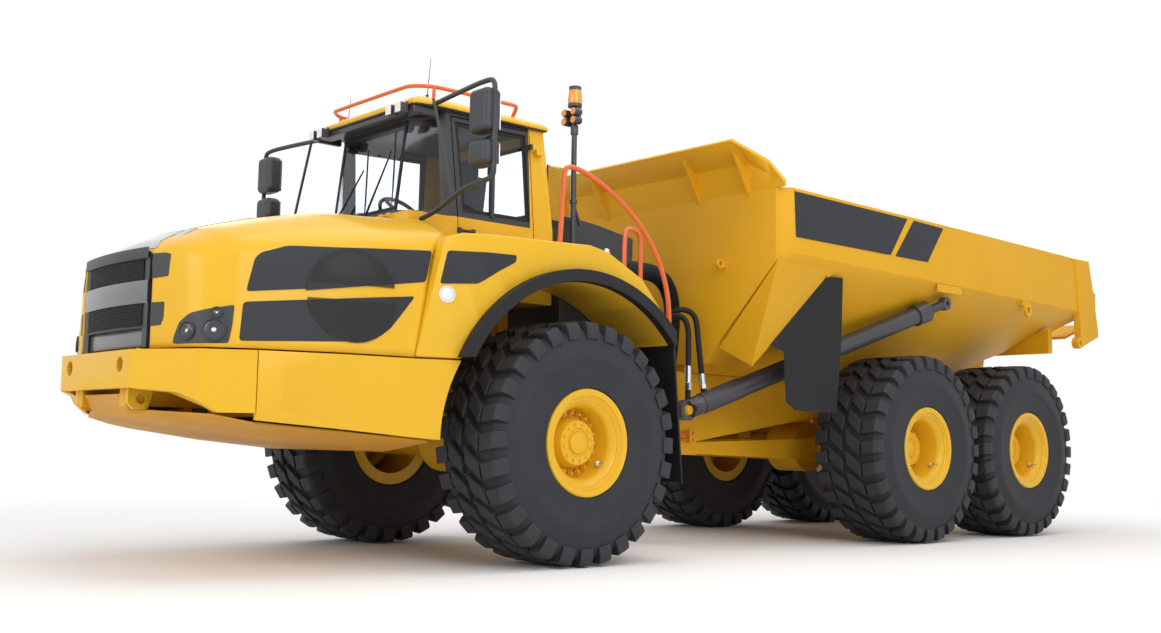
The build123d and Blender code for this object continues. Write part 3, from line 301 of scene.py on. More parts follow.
# %% A group for a surface that isn't quite even
def surface_group():
    """Two colours in soft patches, a roughness that follows them, and a fine grain."""
    group = bpy.data.node_groups.new("uneven_surface", "ShaderNodeTree")
    takes = {"Color": "Color", "Second Color": "Color", "Patches": "Float", "Patch Scale": "Float",
             "Roughness": "Float", "Grain Scale": "Float", "Grain Depth": "Float"}
    gives = {"Color": "Color", "Roughness": "Float", "Normal": "Vector"}
    for way, sockets in (("INPUT", takes), ("OUTPUT", gives)):
        for name, kind in sockets.items():
            group.interface.new_socket(name, in_out=way, socket_type="NodeSocket" + kind)
    given = group.nodes.new("NodeGroupInput")
    out = group.nodes.new("NodeGroupOutput")
    place = node_of(group, "TexCoord")
    cloud = node_of(group, "TexNoise", Detail=6)
    ramp = node_of(group, "MapRange", From_Min=0.35, From_Max=0.7)
    amount = node_of(group, "Math", operation="MULTIPLY")
    mix = node_of(group, "Mix", data_type="RGBA")
    rough = node_of(group, "Math", operation="MULTIPLY_ADD")
    rough.inputs[1].default_value = 0.25
    grain = node_of(group, "TexNoise", Detail=3)
    bump = node_of(group, "Bump", Distance=0.001)
    joined(group, (place, "Object", cloud, "Vector"), (given, "Patch Scale", cloud, "Scale"),
           (cloud, "Fac", ramp, "Value"), (ramp, "Result", amount, 0), (given, "Patches", amount, 1),
           (amount, 0, mix, "Factor"), (given, "Color", mix, "A"), (given, "Second Color", mix, "B"),
           (mix, "Result", out, "Color"), (amount, 0, rough, 0), (given, "Roughness", rough, 2),
           (rough, 0, out, "Roughness"), (place, "Object", grain, "Vector"),
           (given, "Grain Scale", grain, "Scale"), (grain, "Fac", bump, "Height"),
           (given, "Grain Depth", bump, "Strength"), (bump, "Normal", out, "Normal"))
    return group


UNEVEN = surface_group()


def finish(name, slot, color, second, patches, patch_scale, roughness, grain_scale, grain_depth, **shader):
    """A material from the uneven surface group. The rest of the values go on the shader's own sockets."""
    material, tree, bsdf = new_material(name)
    set_on(bsdf, **shader)
    uneven = node_of(tree, "Group", node_tree=UNEVEN, Color=(*color, 1), Second_Color=(*second, 1),
                     Patches=patches, Patch_Scale=patch_scale, Roughness=roughness, Grain_Scale=grain_scale,
                     Grain_Depth=grain_depth)
    joined(tree, (uneven, "Color", bsdf, "Base Color"), (uneven, "Roughness", bsdf, "Roughness"),
           (uneven, "Normal", bsdf, "Normal"))
    return material


# %% The truck's finishes
# Columns: name, slot, colour, second colour, patches, their scale, roughness, grain scale, grain depth
YELLOW = finish("yellow_paint", "yellow_paint", (0.79, 0.45, 0.016), (0.75, 0.405, 0.012), 0.35, 0.7, 0.36,
                900, 0.03, Coat_Weight=0.15, Coat_Roughness=0.1, Specular_IOR_Level=0.32)
BED_YELLOW = finish("bed_paint", "yellow_paint", (0.77, 0.4, 0.012), (0.7, 0.345, 0.009), 0.45, 1.1, 0.46,
                    500, 0.08, Coat_Weight=0.05, Coat_Roughness=0.2, Specular_IOR_Level=0.25)
FRAME_YELLOW = finish("frame_paint", "yellow_paint", (0.76, 0.39, 0.012), (0.62, 0.29, 0.008), 0.5, 2.5, 0.46,
                      400, 0.12, Specular_IOR_Level=0.25)
# The belly pan's yellow is darker than the body's: painted shade for the underside of the truck, not a
# different paint.
BELLY_SHADED = finish("belly_paint_painted_shade", "yellow_paint", (0.62, 0.29, 0.008), (0.5, 0.225, 0.006), 0.5, 1.8, 0.5, 400,
               0.12)
CHARCOAL = finish("charcoal_plastic", "dark_plastic", (0.028, 0.03, 0.035), (0.043, 0.045, 0.051), 0.3, 2.0,
                  0.42, 700, 0.25)
PANEL = finish("grey_panel", "dark_paint", (0.03, 0.033, 0.039), (0.04, 0.044, 0.051), 0.3, 1.2, 0.5, 700,
               0.08, Specular_IOR_Level=0.22)
GLOSS = finish("gloss_black", "dark_paint", (0.03, 0.032, 0.036), (0.04, 0.042, 0.046), 0.2, 1.5, 0.16, 900,
               0.02, Coat_Weight=1.0, Coat_Roughness=0.04)
BAR_GREY = finish("bar_grey", "dark_paint", (0.105, 0.11, 0.118), (0.14, 0.145, 0.155), 0.3, 2.0, 0.3, 700,
                  0.06, Coat_Weight=0.5, Coat_Roughness=0.1)
DARK = finish("dark_paint", "dark_paint", (0.05, 0.048, 0.054), (0.07, 0.07, 0.075), 0.3, 3.0, 0.34, 500, 0.1)
BLACK = finish("black_rubber", "rubber", (0.011, 0.011, 0.013), (0.022, 0.022, 0.024), 0.4, 4.0, 0.58, 600,
               0.2, Specular_IOR_Level=0.3)
TYRE = finish("tyre_rubber", "tyre", (0.026, 0.027, 0.032), (0.042, 0.043, 0.05), 0.55, 3.0, 0.6, 260, 0.3,
              Specular_IOR_Level=0.28)
TREAD = finish("tread_rubber", "tyre", (0.026, 0.027, 0.031), (0.044, 0.045, 0.051), 0.5, 8.0, 0.6, 180,
               0.35, Specular_IOR_Level=0.35)
ORANGE = finish("orange_paint", "orange_paint", (0.74, 0.13, 0.018), (0.64, 0.1, 0.014), 0.3, 4.0, 0.35, 600,
                0.06, Coat_Weight=0.3)
STEEL = finish("bright_steel", "chrome", (0.72, 0.73, 0.75), (0.6, 0.6, 0.62), 0.15, 12.0, 0.24, 900, 0.02,
               Metallic=1.0)
MIRROR = finish("mirror_glass", "chrome", (0.84, 0.86, 0.89), (0.78, 0.8, 0.83), 0.2, 6.0, 0.02, 900, 0.0,
                Metallic=1.0)
INSIDE = finish("cab_trim", "dark_plastic", (0.085, 0.088, 0.096), (0.13, 0.13, 0.14), 0.3, 5.0, 0.6, 400,
                0.3)
NET = finish("black_net", "dark_plastic", (0.01, 0.01, 0.012), (0.024, 0.024, 0.026), 0.4, 12.0, 0.6, 300,
             0.4)
WHITE_LAMP = finish("white_lamp", "lamp_lens", (0.85, 0.86, 0.88), (0.75, 0.76, 0.78), 0.3, 9.0, 0.2, 500,
                    0.1, Coat_Weight=0.8)
AMBER = finish("amber_lens", "amber_lens", (0.86, 0.3, 0.01), (0.7, 0.2, 0.006), 0.4, 14.0, 0.14, 700,
               0.08, Coat_Weight=0.9, Coat_Roughness=0.05)


def clear(name, color, roughness, ior):
    """A see-through material with a faint cloud of dust in its roughness."""
    material, tree, bsdf = new_material(name)
    set_on(bsdf, Base_Color=(*color, 1), Transmission_Weight=1.0, IOR=ior)
    place = node_of(tree, "TexCoord")
    dust = node_of(tree, "TexNoise", Scale=6.0, Detail=5.0)
    spread = node_of(tree, "MapRange", To_Min=roughness, To_Max=roughness + 0.05)
    joined(tree, (place, "Object", dust, "Vector"), (dust, "Fac", spread, "Value"),
           (spread, "Result", bsdf, "Roughness"))
    return material


GLASS = clear("cab_glass", (0.64, 0.67, 0.71), 0.01, 1.35)
LENS = clear("lamp_lens", (0.97, 0.98, 1.0), 0.03, 1.4)
for hose in FEEDS:
    hose.data.materials.append(BLACK)

# %% [markdown]
# ## Small tools for making pieces
# A piece starts as a bmesh: a block, a rod between two points, a turned outline or a flat face that is
# extruded. When it is done it becomes an object at the origin, gets its finish and rides on its body.


# %% Making and finishing a piece
def everything(bm):
    return bm.verts[:] + bm.edges[:] + bm.faces[:]


def mirror_left(bm):
    """Copies what is there to the truck's other side."""
    copy = bmesh.ops.duplicate(bm, geom=everything(bm))["geom"]
    verts = [g for g in copy if isinstance(g, bmesh.types.BMVert)]
    bmesh.ops.scale(bm, vec=(1, -1, 1), verts=verts)
    bmesh.ops.reverse_faces(bm, faces=[g for g in copy if isinstance(g, bmesh.types.BMFace)])


def made(name, bm, material, body="tractor", smooth=32.0, bevel=0.0, segments=2, both=False, stands_for=()):
    """Turns a bmesh into a piece that rides on a body, if asked with a twin on the right and round edges."""
    if both:
        mirror_left(bm)
    piece = shaped(name, bm, 60.0 if bevel else smooth)
    piece.data.materials.append(material)
    if bevel:
        edge = piece.modifiers.new("rounded_edges", "BEVEL")
        edge.width = bevel
        edge.segments = segments
        edge.limit_method = "ANGLE"
        edge.angle_limit = math.radians(28)
        edge.harden_normals = True
    if body:
        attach(piece, body)
    if stands_for:
        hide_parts(*stands_for)
    return piece


def block(bm, x0, x1, y0, y1, z0, z1):
    """A block between two corners."""
    size = Matrix.Diagonal((abs(x1 - x0), abs(y1 - y0), abs(z1 - z0), 1))
    middle = Matrix.Translation(((x0 + x1) / 2, (y0 + y1) / 2, (z0 + z1) / 2))
    bmesh.ops.create_cube(bm, size=1.0, matrix=middle @ size)


def rod(bm, start, end, r, segments=20, r_end=None):
    """A round rod or cone between two points."""
    a, b = Vector(start), Vector(end)
    bmesh.ops.create_cone(bm, cap_ends=True, segments=segments, radius1=r, depth=(b - a).length,
                          radius2=r if r_end is None else r_end, matrix=facing((a + b) / 2, b - a))


def turned(bm, outline, place, axis=(0, 1, 0), steps=64):
    """An outline of (along the axis, radius) points spun round an axis through a place."""
    along = Vector(axis).normalized()
    out = along.orthogonal().normalized()
    verts = [bm.verts.new(Vector(place) + along * a + out * r) for a, r in outline]
    edges = [bm.edges.new(pair) for pair in zip(verts, verts[1:])]
    bmesh.ops.spin(bm, geom=verts + edges, cent=place, axis=along, dvec=(0, 0, 0), angle=math.tau,
                   steps=steps, use_merge=True, use_duplicate=False)


def extruded(bm, faces):
    """Extrudes faces and gives back the new points, which the caller moves."""
    grown = bmesh.ops.extrude_face_region(bm, geom=faces, use_keep_orig=True)["geom"]
    return [g for g in grown if isinstance(g, bmesh.types.BMVert)]


def cut(bm, place, normal, **how):
    """Cuts all faces along a plane."""
    bmesh.ops.bisect_plane(bm, geom=everything(bm), dist=TOUCHING, plane_co=place, plane_no=normal, **how)


def merged(node):
    """A construction piece as a bmesh, with its loose triangles merged to flat faces."""
    bm = bmesh.new()
    bm.from_mesh(NODES[node].data)
    bmesh.ops.remove_doubles(bm, verts=bm.verts, dist=2 * TOUCHING)
    bmesh.ops.dissolve_limit(bm, angle_limit=math.radians(0.6), verts=bm.verts, edges=bm.edges)
    return bm


def body_node(node, material, bevel, segments=2, cuts=()):
    """A construction piece, cut where asked, with rounded edges."""
    bm = merged(node)
    for place, normal in cuts:
        cut(bm, place, normal)
    body = NODES[node]["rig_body"]
    return made(node + "_dressed", bm, material, body, bevel=bevel, segments=segments, stands_for=(node,))


# %% [markdown]
# ## Tyres
# These are wide earthmover tyres with two rows of heavy shoulder lugs and two rows of slanted blocks
# between them. The carcass is one outline turned about the axle. A block is drawn flat, extruded, bent on to
# the tread and then spun round as copies, so all the blocks of a row are alike. A bevel rounds their edges.

# %% Tyre sizes
TYRE_R = 0.925
GROOVE_R = 0.878
PITCHES = 28
PITCH_ANGLE = math.tau / PITCHES
# The slant turns a block about this place across, and a block's top is this share of its foot's length
SLANT_MIDDLE, TOP_SHARE = 0.27, 0.9
CARCASS = [
    (-0.3, 0.325), (-0.325, 0.4), (-0.334, 0.412), (-0.345, 0.416), (-0.349, 0.428), (-0.347, 0.446),
    (-0.356, 0.5), (-0.364, 0.56), (-0.3685, 0.61), (-0.3715, 0.616), (-0.372, 0.64), (-0.3715, 0.69),
    (-0.368, 0.696), (-0.362, 0.745), (-0.352, 0.79), (-0.335, 0.835), (-0.3, 0.866), (-0.24, GROOVE_R),
    (0.0, GROOVE_R + 0.004),
]
# Slices across the tyre, as (out from its middle, radius)
SHOULDER = [
    (0.196, 0.862), (0.198, 0.921), (0.335, 0.915), (0.356, 0.898), (0.368, 0.86), (0.371, 0.815),
    (0.366, 0.782), (0.33, 0.79),
]
INNER = [(0.022, 0.865), (0.022, 0.925), (0.176, 0.922), (0.176, 0.865)]
# Columns: slice, length along the tread, slant, shift in pitches
BLOCKS = [(SHOULDER, 0.136, -0.16, 0.0), (INNER, 0.14, 0.8, 0.42)]


def tread_block(bm, outline, length, slant, side, shift, place):
    """One block: its slice is drawn out along the tread, slanted, and bent round the wheel."""
    one = bmesh.new()
    face = one.faces.new([one.verts.new((a, -length / 2, r)) for a, r in outline])
    bmesh.ops.translate(one, vec=(0, length, 0), verts=extruded(one, [face]))
    for v in one.verts:
        narrow = TOP_SHARE if v.co.z > GROOVE_R else 1.0
        angle = (v.co.y * narrow + slant * (v.co.x - SLANT_MIDDLE)) / TYRE_R + shift * PITCH_ANGLE
        across, r = v.co.x * side, v.co.z
        v.co = Vector((place[0] + r * math.sin(angle), place[1] + across, place[2] + r * math.cos(angle)))
    mesh = mesh_of("block", one)
    bm.from_mesh(mesh)
    bpy.data.meshes.remove(mesh)


def middle_of(wheel):
    low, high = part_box(f"tyre_{wheel}")
    return (low + high) / 2


def tyre(wheel):
    """The tread's blocks all round a wheel, and the carcass under them."""
    middle = middle_of(wheel)
    bm = bmesh.new()
    for side in (-1, 1):
        for outline, length, slant, shift in BLOCKS:
            stagger = shift + (0.5 if side < 0 else 0.0)
            tread_block(bm, outline, length, slant * side, side, stagger, middle)
    bmesh.ops.spin(bm, geom=everything(bm), cent=middle, axis=(0, 1, 0), dvec=(0, 0, 0),
                   angle=math.tau * (PITCHES - 1) / PITCHES, steps=PITCHES - 1, use_merge=False,
                   use_duplicate=True)
    made(f"tread_{wheel}", bm, TREAD, f"wheel_{wheel}", bevel=0.008)
    bm = bmesh.new()
    turned(bm, CARCASS + [(-a, r) for a, r in reversed(CARCASS[:-1])], middle, steps=96)
    made(f"carcass_{wheel}", bm, TYRE, f"wheel_{wheel}", smooth=30, stands_for=(f"tyre_{wheel}",))


WHEELS = [f"{place}_{side}" for place in ("front", "mid", "rear") for side in ("left", "right")]
for wheel in WHEELS:
    tyre(wheel)
print("tyres with", PITCHES * 4, "blocks each")

# %% [markdown]
# ## Rims
# A rim is a turned outline: the outer flange, two steps where the bead ring locks, a sloping band and a deep
# dish. In front the planetary hub stands in the dish with a ring of nuts. On the bogie the dish is
# deeper and the hub is farther in.

# %% Rim outlines, as (out from the wheel's middle, radius)
RIM_BAND = [
    (-0.325, 0.3), (-0.325, 0.405), (-0.3, 0.405), (-0.3, 0.322), (0.318, 0.322), (0.322, 0.398),
    (0.334, 0.408), (0.346, 0.402), (0.35, 0.388), (0.342, 0.372), (0.343, 0.357), (0.331, 0.351),
    (0.33, 0.34), (0.318, 0.334), (0.312, 0.322), (0.285, 0.29), (0.262, 0.276), (0.25, 0.272),
]
RIM_FRONT = RIM_BAND + [
    (0.12, 0.268), (0.112, 0.262), (0.11, 0.2), (0.12, 0.19), (0.205, 0.178), (0.222, 0.165), (0.226, 0.112),
    (0.214, 0.104), (0.214, 0.088), (0.232, 0.08), (0.238, 0.066), (0.238, 0.0),
]
RIM_REAR = RIM_BAND + [
    (0.06, 0.268), (0.042, 0.262), (0.04, 0.19), (0.05, 0.18), (0.12, 0.172), (0.14, 0.16), (0.144, 0.1),
    (0.134, 0.092), (0.15, 0.07), (0.152, 0.0),
]


def ring_of(bm, make, centre, count, first=0.0):
    """Copies of one small shape round the wheel's axis."""
    before = set(everything(bm))
    make()
    geom = [g for g in everything(bm) if g not in before]
    verts = [g for g in geom if isinstance(g, bmesh.types.BMVert)]
    bmesh.ops.rotate(bm, cent=centre, matrix=Matrix.Rotation(first, 3, "Y"), verts=verts)
    bmesh.ops.spin(bm, geom=geom, cent=centre, axis=(0, 1, 0), dvec=(0, 0, 0), angle=math.tau, steps=count,
                   use_merge=False, use_duplicate=True)


def rim(wheel):
    """The turned rim, the wheel nuts, the bolts of a front hub, and the tyre valve low in the dish."""
    sign = 1 if wheel.endswith("left") else -1
    front = wheel.startswith("front")
    c = middle_of(wheel)
    bm = bmesh.new()
    turned(bm, [(sign * a, r) for a, r in (RIM_FRONT if front else RIM_REAR)], c, steps=72)
    made(f"rim_{wheel}_dressed", bm, YELLOW, f"wheel_{wheel}", smooth=40, stands_for=(f"rim_{wheel}",))
    bm = bmesh.new()
    disc, nut_r, count = (0.112, 0.228, 20) if front else (0.042, 0.215, 16)

    def stub(at, start, end, r, segments):
        rod(bm, at + Vector((0, sign * start, 0)), at + Vector((0, sign * end, 0)), r, segments)

    def nut():
        at = c + Vector((nut_r, sign * disc, 0))
        stub(at, 0, 0.034, 0.021, 6)
        stub(at, 0.034, 0.052, 0.012, 10)

    def cap_bolt():
        stub(c + Vector((0.138, sign * 0.225, 0)), 0, 0.01, 0.011, 6)

    ring_of(bm, nut, c, count)
    if front:
        ring_of(bm, cap_bolt, c, 12, 0.2)
    made(f"wheel_nuts_{wheel}", bm, YELLOW, f"wheel_{wheel}", bevel=0.002, segments=1)
    bm = bmesh.new()
    angle = math.radians(38)
    at = c + Vector((math.cos(angle) * 0.25 * -1, sign * 0.24, -math.sin(angle) * 0.25))
    stub(at, 0, 0.05, 0.009, 10)
    stub(at, 0.05, 0.075, 0.006, 10)
    block(bm, at.x - 0.02, at.x + 0.02, at.y - 0.012, at.y, at.z - 0.02, at.z + 0.02)
    made(f"tyre_valve_{wheel}", bm, STEEL, f"wheel_{wheel}", bevel=0.002, segments=1)


for wheel in WHEELS:
    rim(wheel)

# %% [markdown]
# ## Hood
# The hood is one large moulding whose nose, shoulders and crown run into each other. The construction model
# has it in flat facets. Here the same few sections are bridged into a cage, and a subdivision surface makes
# it smooth. Such a surface shrinks inside its cage, so the cage is moved out until the smooth skin goes
# through the drawn points.

# %% Sections of the hood. Columns: x, half width low, half width and height where the side ends, half width
# and height of the shoulder, height in the middle
HOOD_ROWS = [
    (5.5, 0.605, 0.598, 2.05, 0.565, 2.15, 2.188), (5.452, 0.78, 0.74, 2.058, 0.64, 2.178, 2.222),
    (5.363, 1.02, 0.955, 2.075, 0.74, 2.222, 2.28), (5.22, 1.155, 1.07, 2.118, 0.795, 2.285, 2.348),
    (5.052, 1.235, 1.15, 2.17, 0.83, 2.35, 2.418), (4.454, 1.38, 1.3, 2.25, 0.87, 2.5, 2.573),
    (4.1, 1.408, 1.345, 2.298, 0.87, 2.537, 2.597),
]
HOOD_LAST = (3.64, 1.422, 1.385, 2.355, 0.87, 2.578, 2.618)
HOOD_LOW = 1.5
HOOD_WALL = 0.025
SEAM_FOOT, SEAM_TOP = (3.957, 1.5), (3.769, 2.372)
# How far the seam runs back for each metre that it rises over the crown
CROWN_SLOPE = 3.4


def hood_section(row):
    """Half a section from the low edge up over the shoulder to the middle, as (x, y, z)."""
    x, low, top, z_top, shoulder, z_shoulder, z_mid = row
    side_mid = (low * 0.45 + top * 0.55, HOOD_LOW + (z_top - HOOD_LOW) * 0.55)
    high = (low * 0.12 + top * 0.88, HOOD_LOW + (z_top - HOOD_LOW) * 0.9)
    bend = (top * 0.78 + shoulder * 0.22, z_top * 0.6 + z_shoulder * 0.4)
    line = [(low, HOOD_LOW), side_mid, high, bend, (shoulder, z_shoulder),
            (shoulder * 0.55, z_shoulder * 0.35 + z_mid * 0.65), (0, z_mid)]
    return [Vector((x, y, z)) for y, z in line]


def lofted(bm, rows):
    """Bridges rows of points, one after the other, into one skin."""
    chains = []
    for row in rows:
        verts = [bm.verts.new(p) for p in row]
        chains.append([bm.edges.new(pair) for pair in zip(verts, verts[1:])])
    for chain, following in zip(chains, chains[1:]):
        bmesh.ops.bridge_loops(bm, edges=chain + following)


def settled(piece, rounds=10):
    """Moves a subdivided cage until its smooth skin goes through the drawn points."""
    wanted = [v.co.copy() for v in piece.data.vertices]
    for _ in range(rounds):
        bpy.context.view_layer.update()
        skin = piece.evaluated_get(bpy.context.evaluated_depsgraph_get()).data
        moves = [w - skin.vertices[i].co for i, w in enumerate(wanted)]
        for v, move in zip(piece.data.vertices, moves):
            v.co += move
        piece.data.update()


def on_seam(point):
    """Puts a point of the hood's last section on its slanted seam to the fender."""
    (x0, z0), (x1, z1) = SEAM_FOOT, SEAM_TOP
    share = min((point.z - z0) / (z1 - z0), 1.0)
    x = x0 + (x1 - x0) * share
    if point.z > z1:
        x = max(x1 - (point.z - z1) * CROWN_SLOPE, HOOD_LAST[0])
    return Vector((x, point.y, point.z))


rows = [hood_section(row) for row in HOOD_ROWS] + [[on_seam(p) for p in hood_section(HOOD_LAST)]]
rows = [row + [Vector((p.x, -p.y, p.z)) for p in reversed(row[:-1])] for row in rows]
bm = bmesh.new()
lofted(bm, rows)
HOOD = made("hood_skin", bm, YELLOW, "hood", smooth=60, stands_for=("hood",))
smooth_hood = HOOD.modifiers.new("smooth", "SUBSURF")
smooth_hood.levels = smooth_hood.render_levels = 3
smooth_hood.boundary_smooth = "PRESERVE_CORNERS"
settled(HOOD)
bpy.context.view_layer.update()
HOOD_SURFACE = BVHTree.FromObject(HOOD, bpy.context.evaluated_depsgraph_get())
wall = HOOD.modifiers.new("wall", "SOLIDIFY")
wall.thickness = HOOD_WALL
wall.offset = -1.0
crown = HOOD_SURFACE.ray_cast(Vector((4.354, 0.32, 4)), Vector((0, 0, -1)))[0]
print("hood crown at", [round(v, 3) for v in crown])

# %% [markdown]
# ## Panels laid on the hood
# The dark panels on the sides, the gloss strip over the nose and the lamp recess all follow the curved skin.
# Each is drawn flat in front of it with rounded corners and cut into a grid so that it can bend. Then it is
# dropped on to the skin along one direction and given a few millimetres of thickness.

# %% Dropping a flat outline on to the hood
GRID = 0.045


def flat_face(bm, outline, radius):
    """A flat face through an outline, with round corners."""
    verts = [bm.verts.new(p) for p in outline]
    bm.faces.new(verts)
    if radius:
        bmesh.ops.bevel(bm, geom=verts, offset=radius, segments=4, affect="VERTICES", profile=0.5,
                        material=-1)


def dropped(bm, toward, lift, thick, surface, grid=GRID):
    """Cuts what is in a bmesh into a grid and drops it on to a surface, then gives it thickness outwards."""
    toward = Vector(toward)
    for axis in range(3):
        if abs(toward[axis]) > 0.9:
            continue
        normal = Vector([1.0 if i == axis else 0.0 for i in range(3)])
        low = min(v.co[axis] for v in bm.verts)
        high = max(v.co[axis] for v in bm.verts)
        for step in range(1, int((high - low) / grid) + 1):
            cut(bm, normal * (low + step * grid), normal)
    for v in bm.verts:
        place = surface.ray_cast(v.co, toward)[0] or surface.find_nearest(v.co)[0]
        v.co = place - toward * lift
    bmesh.ops.translate(bm, vec=toward * -thick, verts=extruded(bm, bm.faces[:]))


def laid_on(name, outline, toward, material, radius=0.02, lift=-0.002, thick=0.006, both=True, cuts=(),
            grid=GRID):
    """A thin panel on the hood. The outline is flat, outside the hood, and cut by planes if any are given."""
    bm = bmesh.new()
    flat_face(bm, outline, radius)
    for place, normal in cuts:
        cut(bm, place, normal, clear_outer=True)
    dropped(bm, toward, lift, thick, HOOD_SURFACE, grid)
    return made(name, bm, material, "hood", smooth=40, both=both)


SIDEWAYS, BACKWARDS, DOWNWARDS = (0, -1, 0), (-1, 0, 0), (0, 0, -1)
# Columns of each outline: along, up
UPPER_PANEL = [
    (5.111, 1.871), (5.055, 2.094), (5.017, 2.137), (4.839, 2.2), (4.496, 2.217), (4.053, 2.247),
    (3.81, 2.262), (3.862, 2.033), (4.454, 1.945),
]
LOWER_PANEL = [
    (5.158, 1.543), (5.128, 1.8), (4.571, 1.857), (3.943, 1.925), (4.021, 1.823), (4.137, 1.686),
    (4.217, 1.628), (4.316, 1.581),
]
LAMP_RECESS = [
    (5.441, 1.52), (5.436, 1.581), (5.422, 1.666), (5.39, 1.722), (5.322, 1.746), (5.179, 1.778),
    (5.192, 1.646), (5.214, 1.525),
]
# Columns: along, half width of the strip over the hood's middle
STRIP = [(5.502, 0.585), (5.46, 0.565), (5.4, 0.45), (5.3, 0.36), (5.1, 0.31), (4.6, 0.3), (3.68, 0.3)]
FAN_MIDDLE, FAN_R = (4.41, 1.894), 0.325
# A plane beside the hood and a level over it, where the outlines are drawn
OUT_Y, OVER_Z = 1.9, 3.2


def sideways(line):
    return [(x, OUT_Y, z) for x, z in line]


laid_on("upper_side_panel", sideways(UPPER_PANEL), SIDEWAYS, PANEL, 0.022)
laid_on("lower_side_panel", sideways(LOWER_PANEL), SIDEWAYS, PANEL, 0.022)
laid_on("lamp_recess", sideways(LAMP_RECESS), SIDEWAYS, CHARCOAL, 0.016, -0.001, 0.004, grid=0.012)
strip = [(x, y, OVER_Z) for x, y in STRIP] + [(x, -y, OVER_Z) for x, y in reversed(STRIP)]
laid_on("nose_strip", strip, DOWNWARDS, GLOSS, 0.015, both=False, grid=0.025)


def fan_half(name, edge_from, edge_to, keep_up):
    """Half of the round fan screen, cut where the yellow bar passes over it."""
    turns = [math.tau * i / 56 for i in range(56)]
    ring = [(FAN_MIDDLE[0] + FAN_R * math.cos(a), FAN_MIDDLE[1] + FAN_R * math.sin(a)) for a in turns]
    edge = Vector((edge_to[0] - edge_from[0], 0, edge_to[1] - edge_from[1]))
    normal = edge.cross(Vector((0, 1, 0))).normalized()
    if (normal.z > 0) == keep_up:
        normal.negate()
    laid_on(name, sideways(ring), SIDEWAYS, NET, 0.0, 0.0, 0.009,
            cuts=[((edge_from[0], 0, edge_from[1]), normal)])


fan_half("fan_screen_upper", UPPER_PANEL[-1], UPPER_PANEL[-2], True)
fan_half("fan_screen_lower", LOWER_PANEL[1], LOWER_PANEL[2], False)


def on_hood(x, z):
    """The place and the outward direction of the hood's left side."""
    place, normal = HOOD_SURFACE.ray_cast(Vector((x, OUT_Y, z)), Vector(SIDEWAYS))[:2]
    return place, normal if normal.y > 0 else -normal


# %% Thin upright ribs over the fan screen, with a gap for the yellow bar
GAP_LOW, GAP_HIGH = 1.87, 1.955
RIB_PROUD = Vector((0, 0.009, 0))
bm = bmesh.new()
for step in range(-26, 27):
    x = FAN_MIDDLE[0] + step * 0.012
    half = math.sqrt(max(FAN_R ** 2 - (x - FAN_MIDDLE[0]) ** 2, 0))
    bottom, top = FAN_MIDDLE[1] - half, FAN_MIDDLE[1] + half
    for low, high in ((bottom, min(top, GAP_LOW)), (max(bottom, GAP_HIGH), top)):
        if high - low >= 0.05:
            a, b = on_hood(x, low + 0.01)[0], on_hood(x, high - 0.01)[0]
            rod(bm, a + RIB_PROUD, b + RIB_PROUD, 0.0035, 6)
made("fan_ribs", bm, NET, "hood", both=True)

# %% Wall that closes the hood's rear end over the fenders
REAR_WALL_X, REAR_WALL_LOW, REAR_WALL_HALF = 3.66, 2.3, 1.325
bm = bmesh.new()
rows = []
for step in range(33):
    y = -REAR_WALL_HALF + 2 * REAR_WALL_HALF * step / 32
    top = HOOD_SURFACE.ray_cast(Vector((REAR_WALL_X, y, 4)), Vector(DOWNWARDS))[0]
    if top:
        rows.append([Vector((REAR_WALL_X, y, REAR_WALL_LOW)), Vector((REAR_WALL_X, y, top.z - 0.008))])
lofted(bm, rows)
bmesh.ops.translate(bm, vec=(0.012, 0, 0), verts=extruded(bm, bm.faces[:]))
made("hood_rear_wall", bm, YELLOW, "hood")

# %% Grab slots at the nose's corners
UPPER_VENT = [(0.59, 1.965), (0.745, 1.975), (0.745, 2.12), (0.7, 2.135), (0.59, 2.135)]
LOWER_VENT = [(0.57, 1.645), (0.7, 1.65), (0.722, 1.7), (0.722, 1.805), (0.57, 1.805)]
for name, line in (("upper_corner_vent", UPPER_VENT), ("lower_corner_vent", LOWER_VENT)):
    laid_on(name, [(6.0, y, z) for y, z in line], BACKWARDS, CHARCOAL, 0.01, -0.001, 0.004, grid=0.02)

# %% Head lamps: a bowl of bright metal behind a clear lens in a dark ring
# Columns: along, up, radius
HEAD_LAMPS = [(5.397, 1.604, 0.055), (5.283, 1.61, 0.07), (5.268, 1.724, 0.03)]
bezels, bowls, lenses = bmesh.new(), bmesh.new(), bmesh.new()
for x, z, r in HEAD_LAMPS:
    place, normal = on_hood(x, z)
    ring = [(-0.03, r + 0.004), (0.012, r + 0.008), (0.016, r + 0.004), (0.012, r), (-0.03, r - 0.002)]
    bowl = [(0.008, r - 0.001), (0.0, r * 0.92), (-0.012, r * 0.6), (-0.016, r * 0.25), (0.004, r * 0.2),
            (0.007, 0.0)]
    lens = [(0.006, r - 0.001), (0.013, r * 0.9), (0.02, r * 0.5), (0.022, 0.0)]
    for bm, outline in ((bezels, ring), (bowls, bowl), (lenses, lens)):
        turned(bm, outline, place, normal, 36)
made("head_lamp_rings", bezels, DARK, "hood", both=True, stands_for=("head_lamps", "hood_plates"))
made("head_lamp_bowls", bowls, STEEL, "hood", both=True)
made("head_lamp_lenses", lenses, LENS, "hood", both=True)

# %% [markdown]
# ## Grille
# The grille hatch folds down in front of the radiator. It is a frame with a woven net behind two broad bars
# that bow forward. The net is real wire, because its edges catch light that a picture of a net would not.

# %% Grille hatch
GRILLE_HALF, GRILLE_LOW, GRILLE_HIGH, GRILLE_X = 0.548, 1.512, 2.15, 5.5
BOW, BOW_HALF, BAR_STEPS = 0.055, 0.6, 16
WIRE_R, WIRE_STEP = 0.0028, 0.0155


